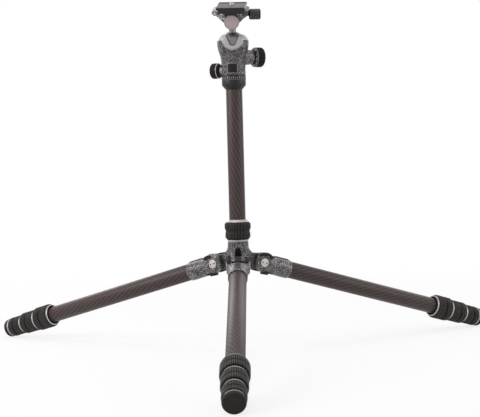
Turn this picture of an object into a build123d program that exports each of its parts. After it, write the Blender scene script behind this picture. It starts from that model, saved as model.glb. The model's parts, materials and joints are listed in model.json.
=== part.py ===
from build123d import *
import math
import os

# A low travel tripod: three telescoping carbon legs with twist locks on a cast hub,
# a rising centre column and a ball head with a quick-release clamp.
# Millimetres. The origin is on the floor under the column axis, +Z is up
# and the front leg points along -Y.

# Stance
leg_spread = 74.0  # leg axis from the vertical, against the widest stop
hinge_radius = 35.2  # hinge axes from the column axis
leg_directions = {"front": -90.0, "right": 30.0, "left": 150.0}

# Clearances
running_fit = 0.05  # radial, between a shaft and its hole
slide_gap = 0.35  # radial, between nested tubes and inside the twist locks
side_gap = 0.3  # between flat or loose faces that move past each other

# Leg tubes
tube_diameter = 25.3  # upper leg section
tube_wall = 1.4
tube_count = 4
hinge_to_lock = 334.0  # hinge axis to the top of the first twist lock
inner_tube_start = 58.0  # hinge axis to the top of the second section, pushed in
nest_step = 4.0  # each further section starts this much lower

# Twist locks and feet
lock_lengths = (32.0, 30.5, 26.5)
lock_spacing = 0.5  # between a lock and the one below it
lock_wall = 6.35  # grip radius over the tube that carries the lock
lock_overlap = 14.0  # how far a tube reaches into its lock
lock_lip = 3.5  # closed lower end of a lock
lock_top_ring = 2.6  # height of the bevelled ring at the top of a lock
lock_groove = 1.1  # depth of the waist between the two grip bands
foot_diameter = 29.2
foot_length = 9.0
foot_edge = 3.0  # rounding of the sole
foot_socket = 5.5  # how far the last tube reaches into the foot

# Leg castings, hinge bolts and angle selectors
casting_width = 34.0
casting_height = 27.0
casting_length = 51.0  # hinge axis to the lower end of the socket
casting_taper_end = 41.0
socket_wall = 1.4
socket_depth = 14.0
casting_edge = 2.5
bolt_diameter = 8.0
cap_diameter = 17.0
cap_thickness = 2.4
cap_stand = 0.6  # how far a bolt cap stands out of the casting
selector_gap = 1.0  # between the sliding block and the hub's tongue
selector_travel = 6.0
selector_block = 5.0  # length of the sliding block along the leg
selector_tab_width = 10.0
selector_nose = 2.0  # where the thumb tab begins to rise
selector_tip = 6.0  # how far the tongue reaches past the hinge towards the hub
selector_rise = 3.3  # height of the thumb tab over the casting
selector_tail = 2.9  # how far the block stands out under the casting

# Hub
tongue_width = 16.5
tongue_radius = 9.0
hub_bottom = 9.0  # below the hinge level
hub_swell = 3.0  # hub body over the neck
neck_wall = 1.2  # shoulder under the column lock
neck_top = 33.3  # heights from here on are above the hinge level
flare_height = 29.0  # where the arms run into the neck
arm_shoulder_radius = 24.0
arm_shoulder_height = 13.6
flare_round = 18.0  # hollow between an arm and the neck
stop_height = 4.1  # face of the leg stop
groove_width = 8.8
groove_floor = 9.6
collet_wall = 1.05  # thin neck inside the column lock
bushing_wall = 1.0

# Column
column_diameter = 24.3
column_wall = 1.6
column_top = 258.0
column_cap_height = 4.6
column_cap_flange = 1.85  # over the column tube
column_cap_bevel = 2.0
plug_length = 12.0

# Column lock
column_lock_length = 32.4
column_lock_lip = 8.5
column_lock_wall = 3.9  # grip radius over the hub's neck
column_lock_groove = 1.4  # depth of its waist
column_lock_foot_ring = 3.6
column_lock_top_ring = 4.0

# Plate on the column and base of the head
top_plate_diameter = 35.5
top_plate_height = 13.8
top_plate_bevel = 6.3
stud_diameter = 9.5
stud_length = 7.0
head_base_height = 6.8
spindle_diameter = 14.0
spindle_height = 14.0

# Ball housing
ball_diameter = 34.0
housing_diameter = 46.8
housing_foot = 17.1  # straight foot of the cup
ball_rise = 31.0  # ball centre over the straight foot
shoulder_rise = 1.0  # this and the next three are above the ball centre
joint_rise = 2.6  # where the bright collar sits on the housing
bib_rise = 3.0  # centre of the collar's round front
collar_rise = 12.0
collar_top_radius = 14.5
collar_round = 13.3  # rounded shoulder of the collar
bib_radius = 15.5  # round front of the collar, about the drop notch
scoop_depth = 3.9  # hollowing of the collar's front
scoop_edge = 18.0
notch_top_width = 22.0
seat_diameter = 27.0
seat_drop = 24.5  # underside of the seat below the ball centre
seat_height = 13.5

# Knobs of the head
knob_sweep = 27.0  # both knobs point this far back from the left-right line
lock_knob_drop = 21.0  # knob axis below the ball centre
lock_knob_diameter = 29.4
lock_knob_length = 15.7
lock_knob_gap = 1.2  # between a boss and its knob
lock_boss_diameter = 20.6
lock_boss_length = 7.4  # out of the cup
lock_boss_flare = 2.0  # the boss widens this much towards the cup
lock_shaft_diameter = 8.0
pan_knob_rise = 8.1  # knob axis above the underside of the housing
pan_knob_diameter = 23.0
pan_knob_length = 13.4
pan_knob_gap = 0.6
pan_boss_diameter = 11.0
pan_boss_length = 3.85  # out of the foot
pan_shaft_diameter = 6.0
knob_edge = 3.0

# Clamp, stacked up along the neck from the ball centre
head_tilt = 16.0  # neck leaning forward
clamp_yaw = 4.0  # clamp turned on the neck
neck_shaft_diameter = 10.6
neck_shaft_depth = 4.0  # neck inside the cross piece
barrel_height = 32.5  # round cross piece under the clamp
barrel_diameter = 19.0
barrel_length = 18.0
end_cap_diameter = 21.6
end_cap_thickness = 2.3
keel_drop = 3.5  # underside of the keel below the cross piece's axis
keel_width = 18.0
floor_rise = 14.4  # clamp floor above the cross piece's axis
tray_thickness = 3.3  # this far below its floor the clamp has its full depth
clamp_depth = 38.0
fixed_jaw_width = 9.0  # outside the dovetail
jaw_seat = 1.0  # from the dovetail to where the moving jaw meets the base
jaw_width = 4.6
jaw_rise = 4.3  # jaws above the plate's underside
jaw_bevel = 1.9
clamp_screw_drop = 4.9  # screw axis below the clamp floor
clamp_screw_diameter = 5.0
clamp_screw_depth = 24.0  # screw inside the base
clamp_knob_diameter = 16.0
clamp_knob_length = 16.8

# Quick-release plate and camera screw
plate_overhang = 2.0  # each side of the dovetail
plate_length = 50.0
plate_height = 8.8
plate_slab = 4.0
dovetail_foot = 38.0
dovetail_undercut = 2.4
dovetail_edge = 1.1  # straight foot of the dovetail
camera_screw_diameter = 6.35  # 1/4 inch
camera_screw_rise = 4.8
camera_shank_diameter = 5.0  # undercut that keeps the screw in its plate
screw_head_diameter = 13.0
screw_head_height = 2.4
screw_head_recess = 1.0  # screw head inside the plate's underside

# Derived sizes
spread = math.radians(leg_spread)
tube_radii = [tube_diameter / 2 - k * (tube_wall + slide_gap) for k in range(tube_count)]
lock_starts = [
    hinge_to_lock + sum(lock_lengths[:k]) + k * lock_spacing for k in range(len(lock_lengths))
]
foot_start = lock_starts[-1] + lock_lengths[-1] + lock_spacing
leg_length = foot_start + foot_length
foot_radius = foot_diameter / 2
hinge_height = (
    (leg_length - foot_edge) * math.cos(spread)
    + (foot_radius - foot_edge) * math.sin(spread)
    + foot_edge
)
fork_width = tongue_width + 2 * side_gap
selector_start = tongue_radius + selector_gap
fork_depth = selector_start + selector_block + selector_travel + slide_gap
casting_radius = casting_height / 2
socket_radius = tube_radii[0] + running_fit + socket_wall
bolt_radius = bolt_diameter / 2
cap_radius = cap_diameter / 2
column_radius = column_diameter / 2
bushing_bore = column_radius + running_fit
bushing_radius = bushing_bore + bushing_wall
hub_bore = bushing_radius + running_fit
collet_radius = hub_bore + collet_wall
neck_radius = collet_radius + neck_wall
hub_waist_radius = neck_radius + hub_swell
column_lock_bottom = neck_top + side_gap
column_lock_top = column_lock_bottom + column_lock_length
collet_top = column_lock_top - column_lock_lip - side_gap
top_plate_radius = top_plate_diameter / 2
head_base_bottom = column_top + top_plate_height
housing_bottom = head_base_bottom + head_base_height + side_gap
housing_radius = housing_diameter / 2
flare_start = housing_bottom + housing_foot
ball_radius = ball_diameter / 2
socket_ball_radius = ball_radius + side_gap
ball_height = flare_start + ball_rise
housing_shoulder = ball_height + shoulder_rise
collar_joint = ball_height + joint_rise
bib_height = ball_height + bib_rise
head_top = ball_height + collar_rise
seat_bottom = ball_height - seat_drop
seat_top = seat_bottom + seat_height
lock_knob_height = ball_height - lock_knob_drop
lock_boss_end = housing_radius + lock_boss_length
lock_knob_start = lock_boss_end + lock_knob_gap
pan_knob_height = housing_bottom + pan_knob_rise
pan_boss_end = top_plate_radius + pan_boss_length
pan_knob_start = pan_boss_end + pan_knob_gap
barrel_radius = barrel_diameter / 2
neck_shaft_end = barrel_height - barrel_radius + neck_shaft_depth
clamp_bottom = barrel_height - keel_drop
clamp_floor = barrel_height + floor_rise
tray_height = clamp_floor - tray_thickness
clamp_screw_height = clamp_floor - clamp_screw_drop
plate_bottom = clamp_floor + side_gap
plate_top = plate_bottom + plate_height
jaw_top = plate_bottom + jaw_rise
jaw_edge_height = jaw_top - jaw_bevel
dovetail_half = dovetail_foot / 2
fixed_jaw_reach = dovetail_half + fixed_jaw_width
jaw_split = dovetail_half + jaw_seat
moving_jaw_reach = jaw_split + jaw_width


def outline(plane, *points):
    with BuildSketch(plane) as drawn:
        with BuildLine():
            Polyline(*points, close=True)
        make_face()
    return drawn.sketch


def keep(piece, name):
    piece.part.label = name
    export_step(piece.part, f"parts/{name}.step")


# Planes. In the upright plane x is the distance from the column axis and y the height
# above the hinges.
upright = Plane(origin=(0, 0, hinge_height), x_dir=(1, 0, 0), z_dir=(0, -1, 0))
hinge_level = Plane.XY.offset(hinge_height)


def direction_vectors(degrees):
    angle = math.radians(degrees)
    outward = Vector(math.cos(angle), math.sin(angle), 0)
    tangent = Vector(-math.sin(angle), math.cos(angle), 0)
    return outward, tangent


def leg_plane(degrees):
    # x along the hinge axis, y to the upper side of the leg, z down the leg
    outward, tangent = direction_vectors(degrees)
    down_leg = outward * math.sin(spread) - Vector(0, 0, math.cos(spread))
    hinge = outward * hinge_radius + Vector(0, 0, hinge_height)
    return Plane(origin=hinge, x_dir=tangent, z_dir=down_leg)


def arm_plane(degrees):
    # x outwards from the column axis, y up from the hinge level
    outward, tangent = direction_vectors(degrees)
    return Plane(origin=(0, 0, hinge_height), x_dir=outward, z_dir=tangent * -1)


def knob_plane(degrees, height):
    # x up from the knob's axis, y along it, away from the column axis
    tangent = direction_vectors(degrees)[1]
    return Plane(origin=(0, 0, hinge_height + height), x_dir=(0, 0, 1), z_dir=tangent)


def in_arm(along, above):
    # a point of the opened leg, along it and above its axis, in the arm plane
    return (
        hinge_radius + along * math.sin(spread) + above * math.cos(spread),
        -along * math.cos(spread) + above * math.sin(spread),
    )


def lock_profile(bore, lip_bore, radius, length):
    # two grip bands with a waist between them, a bevelled top ring and a closed lower lip
    band = (length - lock_top_ring) / 2
    waist = lock_top_ring + band
    inner = radius - lock_groove
    return [
        (bore, 0),
        (radius - 2 * lock_groove, 0),
        (radius, lock_top_ring),
        (radius, waist - 2 * lock_groove),
        (inner, waist),
        (radius, waist + 2 * lock_groove),
        (radius, length - 2 * lock_groove),
        (radius - 2 * lock_groove, length),
        (lip_bore, length),
        (lip_bore, length - lock_lip),
        (bore, length - lock_lip),
    ]


def knob_profile(radius, start, end, shaft_radius, shaft_end):
    # a domed grip on a shaft that reaches inwards to shaft_end
    return [
        (0, shaft_end),
        (shaft_radius, shaft_end),
        (shaft_radius, start),
        (radius - knob_edge / 2, start),
        (radius, start + knob_edge / 2),
        (radius, end - knob_edge),
        (radius - knob_edge / 3, end - knob_edge / 3),
        (radius - knob_edge, end),
        (0, end),
    ]


def goblet(plane):
    # outer form of the head above its base: a straight foot, a swelling cup, a rounded rim
    foot = (top_plate_radius, flare_start)
    brim = (housing_radius, housing_shoulder)
    middle = ((foot[0] + brim[0]) / 2, (foot[1] + brim[1]) / 2)
    rim = (housing_radius, collar_joint)
    crown = (collar_top_radius, head_top)
    with BuildSketch(plane) as drawn:
        with BuildLine():
            Polyline((0, head_top), (0, housing_bottom), (foot[0], housing_bottom), foot)
            TangentArc(foot, middle, tangent=(0, 1))
            TangentArc(brim, middle, tangent=(0, -1))
            Line(brim, rim)
            RadiusArc(rim, crown, -collar_round)
            Line(crown, (0, head_top))
        make_face()
    return drawn.sketch


def build_leg(side, degrees):
    leg = leg_plane(degrees)
    leg_axis = Axis(leg.origin, leg.z_dir)
    hinge_axis = Axis(leg.origin, leg.x_dir)
    profile = Plane(origin=leg.origin, x_dir=leg.y_dir, z_dir=leg.x_dir)  # x up, y down the leg
    across = Plane(origin=leg.origin, x_dir=leg.y_dir, z_dir=leg.z_dir * -1)  # y on the hinge axis
    half = casting_width / 2
    name = f"{side}_leg"

    # Casting: a rounded fork about the hinge that narrows to the tube's socket
    with BuildPart() as casting:
        barrel = outline(
            across,
            (0, -half),
            (casting_radius - casting_edge, -half),
            (casting_radius, casting_edge - half),
            (casting_radius, half - casting_edge),
            (casting_radius - casting_edge, half),
            (0, half),
        )
        revolve(barrel, axis=hinge_axis)
        with BuildSketch(leg):
            Ellipse(half, casting_radius)
        with BuildSketch(leg.offset(casting_taper_end)):
            Circle(socket_radius)
        loft()
        with BuildSketch(leg.offset(casting_taper_end)):
            Circle(socket_radius)
        extrude(amount=casting_length - casting_taper_end)
        with BuildSketch(leg.offset(casting_length - socket_depth)):
            Circle(tube_radii[0] + running_fit)
        extrude(amount=socket_depth, mode=Mode.SUBTRACT)
        with BuildSketch(leg.offset(-casting_height)):
            Rectangle(fork_width, 2 * casting_height)
        extrude(amount=casting_height + fork_depth, mode=Mode.SUBTRACT)
        with BuildSketch(profile):
            Circle(bolt_radius + running_fit)
        extrude(amount=half, both=True, mode=Mode.SUBTRACT)
        with BuildSketch(profile.offset(half - cap_thickness), profile.offset(-half)):
            Circle(cap_radius + side_gap)
        extrude(amount=cap_thickness, mode=Mode.SUBTRACT)
    keep(casting, f"{name}_casting")

    # Angle selector: a block that slides in the fork, with a tongue against the hub's stop
    # and a narrow thumb tab on top
    top = casting_radius + selector_rise
    block_top = casting_radius - side_gap
    block_end = selector_start + selector_block
    tongue_floor = tongue_radius + 2 * side_gap
    tab_floor = casting_radius + slide_gap
    tab_end = block_end + selector_rise
    with BuildPart() as selector:
        block = outline(
            profile,
            (tongue_floor, -selector_tip),
            (tongue_floor + selector_rise, -selector_tip),
            (block_top, selector_nose),
            (block_top, block_end),
            (-casting_radius - selector_tail, block_end),
            (-casting_radius - selector_tail, selector_start + side_gap),
            (-casting_radius, selector_start),
            (tongue_floor, selector_start),
        )
        extrude(block, amount=tongue_width / 2, both=True)
        tab = outline(
            profile,
            (tongue_floor, -selector_tip),
            (tongue_floor + selector_rise, -selector_tip),
            (casting_radius + selector_rise / 2, selector_nose),
            (top, selector_start),
            (tab_floor, tab_end),
            (tab_floor, block_end),
            (tongue_floor, block_end),
        )
        extrude(tab, amount=selector_tab_width / 2, both=True)
    keep(selector, f"{name}_selector")

    # Tubes: the upper one in the socket, each next one inside the one before
    for k, radius in enumerate(tube_radii):
        start = inner_tube_start + (k - 1) * nest_step if k else casting_length - socket_depth
        last = k == tube_count - 1
        end = foot_start + foot_socket if last else lock_starts[k] + lock_overlap
        with BuildPart() as tube:
            with BuildSketch(leg.offset(start)):
                Circle(radius)
                Circle(radius - tube_wall, mode=Mode.SUBTRACT)
            extrude(amount=end - start)
        keep(tube, f"{name}_tube_{k + 1}")

    # Twist locks and the split collets that they squeeze onto the next tube
    for k, length in enumerate(lock_lengths):
        bore = tube_radii[k] + slide_gap
        lip_bore = tube_radii[k + 1] + slide_gap
        grip = tube_radii[k] + lock_wall
        shape = lock_profile(bore, lip_bore, grip, length)
        with BuildPart() as lock:
            revolve(
                outline(profile, *[(r, lock_starts[k] + s) for r, s in shape]),
                axis=leg_axis,
            )
        keep(lock, f"{name}_lock_{k + 1}")

        collet_start = lock_starts[k] + lock_overlap + side_gap
        collet_end = lock_starts[k] + length - lock_lip - side_gap
        with BuildPart() as collet:
            with BuildSketch(leg.offset(collet_start)):
                Circle(bore - running_fit)
                Circle(tube_radii[k + 1] + running_fit, mode=Mode.SUBTRACT)
            extrude(amount=collet_end - collet_start)
            with BuildSketch(leg.offset(collet_start)):
                with Locations((bore, 0)):
                    Rectangle(bore, tube_wall)
            extrude(amount=collet_end - collet_start, mode=Mode.SUBTRACT)
        keep(collet, f"{name}_collet_{k + 1}")

    # Foot: a rubber pad with a rounded sole on the end of the last tube
    with BuildPart() as foot:
        with BuildSketch(leg.offset(foot_start)):
            Circle(foot_radius)
        extrude(amount=foot_length)
        fillet(foot.faces().sort_by(leg_axis)[-1].edges(), foot_edge)
        chamfer(foot.faces().sort_by(leg_axis)[0].edges(), foot_edge / 3)
        with BuildSketch(leg.offset(foot_start)):
            Circle(tube_radii[-1] + running_fit)
        extrude(amount=foot_socket, mode=Mode.SUBTRACT)
    keep(foot, f"{name}_foot")


def build_hub():
    # Core with a neck for the column lock, and an arm with a hinge tongue for each leg
    with BuildPart() as hub:
        core = outline(
            upright,
            (0, -hub_bottom),
            (hub_waist_radius - casting_edge, -hub_bottom),
            (hub_waist_radius, casting_edge - hub_bottom),
            (hub_waist_radius, tongue_radius),
            (neck_radius, flare_height),
            (neck_radius, neck_top),
            (collet_radius, neck_top),
            (collet_radius, collet_top),
            (0, collet_top),
        )
        revolve(core, axis=Axis.Z)
        stop_low = in_arm(-selector_tip - side_gap, tongue_radius + side_gap)
        stop_high = in_arm(-selector_tip - side_gap, tongue_radius + side_gap + stop_height)
        shoulder = (arm_shoulder_radius, arm_shoulder_height)
        flare_top = (neck_radius, flare_height)
        for degrees in leg_directions.values():
            arm = arm_plane(degrees)
            with BuildSketch(arm):
                with BuildLine():
                    Polyline(
                        flare_top,
                        (0, flare_height),
                        (0, -hub_bottom),
                        (hinge_radius, -tongue_radius),
                        (hinge_radius, 0),
                        stop_low,
                        stop_high,
                        shoulder,
                    )
                    RadiusArc(shoulder, flare_top, flare_round)
                make_face()
                with Locations((hinge_radius, 0)):
                    Circle(tongue_radius)
            extrude(amount=tongue_width / 2, both=True)
            with BuildSketch(arm):
                with Locations((hinge_radius, groove_floor)):
                    Rectangle(
                        2 * (hinge_radius - hub_waist_radius),
                        flare_height,
                        align=(Align.CENTER, Align.MIN),
                    )
            extrude(amount=groove_width / 2, both=True, mode=Mode.SUBTRACT)
            with BuildSketch(arm):
                with Locations((hinge_radius, 0)):
                    Circle(bolt_radius + running_fit)
            extrude(amount=tongue_width, both=True, mode=Mode.SUBTRACT)
        with BuildSketch(hinge_level.offset(-hub_bottom)):
            Circle(hub_bore)
        extrude(amount=column_lock_top + hub_bottom, mode=Mode.SUBTRACT)
    keep(hub, "hub")

    # Hinge bolts: a shaft with a cap at each end
    half = casting_width / 2
    with BuildPart() as hinge_bolts:
        for degrees in leg_directions.values():
            leg = leg_plane(degrees)
            profile = Plane(origin=leg.origin, x_dir=leg.y_dir, z_dir=leg.x_dir)
            with BuildSketch(profile):
                Circle(bolt_radius)
            extrude(amount=half, both=True)
            cap_face = half - cap_thickness + side_gap
            cap_height = cap_thickness - side_gap + cap_stand
            with BuildSketch(profile.offset(cap_face), profile.offset(-cap_face - cap_height)):
                Circle(cap_radius)
            extrude(amount=cap_height)
    keep(hinge_bolts, "hinge_bolts")

    with BuildPart() as bushing:
        with BuildSketch(hinge_level.offset(side_gap - hub_bottom)):
            Circle(bushing_radius)
            Circle(bushing_bore, mode=Mode.SUBTRACT)
        extrude(amount=hub_bottom + collet_top - 2 * side_gap)
    keep(bushing, "column_bushing")


def build_column():
    bottom = -hub_bottom - slide_gap
    inner = column_radius - column_wall
    with BuildPart() as tube:
        with BuildSketch(hinge_level.offset(bottom)):
            Circle(column_radius)
            Circle(inner, mode=Mode.SUBTRACT)
        extrude(amount=column_top - bottom)
    keep(tube, "column_tube")

    # End cap: a plug whose flange stops the column from lifting out
    flange = column_radius + column_cap_flange
    with BuildPart() as cap:
        shape = outline(
            upright,
            (0, bottom - column_cap_height),
            (flange - column_cap_bevel, bottom - column_cap_height),
            (flange, bottom - column_cap_height + column_cap_bevel),
            (flange, bottom),
            (inner - running_fit, bottom),
            (inner - running_fit, bottom + plug_length),
            (0, bottom + plug_length),
        )
        revolve(shape, axis=Axis.Z)
    keep(cap, "column_end_cap")

    # Top plate: a bevelled disc with a plug below and the head's stud above
    with BuildPart() as plate:
        shape = outline(
            upright,
            (0, column_top - plug_length),
            (inner - running_fit, column_top - plug_length),
            (inner - running_fit, column_top),
            (column_radius, column_top),
            (top_plate_radius, column_top + top_plate_bevel),
            (top_plate_radius, head_base_bottom),
            (stud_diameter / 2, head_base_bottom),
            (stud_diameter / 2, head_base_bottom + stud_length),
            (0, head_base_bottom + stud_length),
        )
        revolve(shape, axis=Axis.Z)
    keep(plate, "column_top_plate")

    # Column lock: the same two-band grip as on the legs, over the hub's thin neck
    grip = neck_radius + column_lock_wall
    waist = grip - column_lock_groove
    bottom = column_lock_bottom
    ring = bottom + column_lock_foot_ring
    middle = (ring + column_lock_top - column_lock_top_ring) / 2
    lip = column_lock_top - column_lock_lip
    bore = collet_radius + slide_gap
    lip_bore = column_radius + slide_gap
    band = column_lock_groove
    with BuildPart() as lock:
        shape = outline(
            upright,
            (bore, bottom),
            (neck_radius, bottom),
            (neck_radius, ring),
            (waist - band, ring),
            (waist + band / 2, ring + 3 * band / 2),
            (waist + band / 2, middle - 2 * band),
            (waist, middle),
            (grip, middle + 3 * band / 2),
            (grip, column_lock_top - column_lock_top_ring - 2 * band),
            (grip - band, column_lock_top - column_lock_top_ring),
            (lip_bore + band / 2, column_lock_top),
            (lip_bore, column_lock_top),
            (lip_bore, lip),
            (bore, lip),
        )
        revolve(shape, axis=Axis.Z)
    keep(lock, "column_lock")


def build_head():
    spindle = spindle_diameter / 2
    base_top = head_base_bottom + head_base_height
    with BuildPart() as base:
        shape = outline(
            upright,
            (0, base_top + spindle_height),
            (0, head_base_bottom + stud_length + side_gap),
            (stud_diameter / 2 + running_fit, head_base_bottom + stud_length + side_gap),
            (stud_diameter / 2 + running_fit, head_base_bottom),
            (top_plate_radius - side_gap, head_base_bottom),
            (top_plate_radius, head_base_bottom + side_gap),
            (top_plate_radius, base_top),
            (spindle, base_top),
            (spindle, base_top + spindle_height),
        )
        revolve(shape, axis=Axis.Z)
    keep(base, "head_base")

    lock_side = knob_plane(knob_sweep, lock_knob_height)
    pan_side = knob_plane(180 - knob_sweep, pan_knob_height)
    lock_axis = Axis(lock_side.origin, lock_side.y_dir)
    pan_axis = Axis(pan_side.origin, pan_side.y_dir)
    lock_shaft = lock_shaft_diameter / 2
    pan_shaft = pan_shaft_diameter / 2
    lock_boss = lock_boss_diameter / 2
    lock_boss_root = lock_boss + lock_boss_flare
    pan_boss = pan_boss_diameter / 2
    ball_centre = (0, 0, hinge_height + ball_height)
    seat_radius = seat_diameter / 2
    wide = 2 * housing_diameter

    # Housing: the goblet below the collar, with bosses for the knobs and a socket for the ball
    with BuildPart() as housing:
        revolve(goblet(upright), axis=Axis.Z)
        revolve(
            outline(lock_side, (0, 0), (lock_boss_root, 0), (lock_boss_root, seat_radius),
                    (lock_boss, lock_boss_end), (0, lock_boss_end)),
            axis=lock_axis,
        )
        revolve(
            outline(pan_side, (0, 0), (pan_boss, 0), (pan_boss, pan_boss_end), (0, pan_boss_end)),
            axis=pan_axis,
        )
        with BuildSketch(upright):
            with Locations((0, collar_joint)):
                Rectangle(wide, wide, align=(Align.CENTER, Align.MIN))
        extrude(amount=wide, both=True, mode=Mode.SUBTRACT)
        with BuildSketch(upright):
            with Locations((0, bib_height)):
                Circle(bib_radius)
        extrude(amount=wide, mode=Mode.SUBTRACT)
        with Locations(ball_centre):
            Sphere(socket_ball_radius, mode=Mode.SUBTRACT)
        with BuildSketch(hinge_level.offset(seat_bottom - side_gap)):
            Circle(seat_radius + side_gap)
        extrude(amount=ball_height - seat_bottom, mode=Mode.SUBTRACT)
        with BuildSketch(hinge_level.offset(ball_height)):
            Circle(socket_ball_radius)
        extrude(amount=head_top - ball_height, mode=Mode.SUBTRACT)
        with BuildSketch(hinge_level.offset(housing_bottom)):
            Circle(spindle + running_fit)
        extrude(amount=spindle_height + side_gap, mode=Mode.SUBTRACT)
        revolve(
            outline(lock_side, (0, seat_radius), (lock_shaft + running_fit, seat_radius),
                    (lock_shaft + running_fit, lock_boss_end), (0, lock_boss_end)),
            axis=lock_axis,
            mode=Mode.SUBTRACT,
        )
        revolve(
            outline(pan_side, (0, spindle), (pan_shaft + running_fit, spindle),
                    (pan_shaft + running_fit, pan_boss_end), (0, pan_boss_end)),
            axis=pan_axis,
            mode=Mode.SUBTRACT,
        )
    keep(housing, "ball_housing")

    # Collar: bright rim that holds the ball, with a hollowed round front and the drop notch
    half_notch = neck_shaft_diameter / 2 + 2 * side_gap
    scoop = housing_radius - scoop_depth
    with BuildPart() as collar:
        revolve(goblet(upright), axis=Axis.Z)
        with BuildSketch(upright):
            with Locations((0, collar_joint)):
                Rectangle(wide, wide, align=(Align.CENTER, Align.MIN))
            with Locations((0, bib_height)):
                Circle(bib_radius)
        extrude(amount=wide, both=True, mode=Mode.INTERSECT)
        with BuildSketch(upright):
            with Locations((0, collar_joint)):
                Rectangle(wide, wide, align=(Align.CENTER, Align.MAX))
        extrude(amount=-wide, mode=Mode.SUBTRACT)
        with Locations(ball_centre):
            Sphere(socket_ball_radius, mode=Mode.SUBTRACT)
        with BuildSketch(hinge_level.offset(seat_bottom)):
            Circle(seat_radius + side_gap)
        extrude(amount=ball_height - seat_bottom, mode=Mode.SUBTRACT)
        hollow = outline(
            hinge_level,
            (0, -scoop),
            (bib_radius, -scoop_edge),
            (bib_radius, -wide),
            (-bib_radius, -wide),
            (-bib_radius, -scoop_edge),
        )
        extrude(hollow, amount=wide + head_top, mode=Mode.SUBTRACT)
        with BuildSketch(upright):
            with BuildLine():
                Polyline(
                    (-half_notch, ball_height),
                    (-notch_top_width / 2, head_top),
                    (notch_top_width / 2, head_top),
                    (half_notch, ball_height),
                )
                ThreePointArc(
                    (half_notch, ball_height),
                    (0, ball_height - half_notch),
                    (-half_notch, ball_height),
                )
            make_face()
        extrude(amount=wide, mode=Mode.SUBTRACT)
    keep(collar, "ball_collar")

    with BuildPart() as seat:
        with BuildSketch(hinge_level.offset(seat_bottom)):
            Circle(seat_radius)
        extrude(amount=seat_top - seat_bottom)
        with Locations(ball_centre):
            Sphere(ball_radius + 2 * running_fit, mode=Mode.SUBTRACT)
    keep(seat, "ball_seat")

    with BuildPart() as lock_knob:
        shape = knob_profile(
            lock_knob_diameter / 2, lock_knob_start, lock_knob_start + lock_knob_length,
            lock_shaft,
            seat_radius + 2 * side_gap,
        )
        revolve(outline(lock_side, *shape), axis=lock_axis)
    keep(lock_knob, "ball_lock_knob")

    with BuildPart() as pan_knob:
        shape = knob_profile(
            pan_knob_diameter / 2, pan_knob_start, pan_knob_start + pan_knob_length, pan_shaft,
            spindle + side_gap,
        )
        revolve(outline(pan_side, *shape), axis=pan_axis)
    keep(pan_knob, "pan_lock_knob")


def clamp_plane():
    # x to the right, y to the back, z along the leaning neck, from the ball centre
    lean = math.radians(head_tilt)
    yaw = math.radians(clamp_yaw)
    neck = Vector(0, -math.sin(lean), math.cos(lean))
    back = Vector(0, math.cos(lean), math.sin(lean))
    right = Vector(1, 0, 0) * math.cos(yaw) - back * math.sin(yaw)
    return Plane(origin=(0, 0, hinge_height + ball_height), x_dir=right, z_dir=neck)


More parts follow.
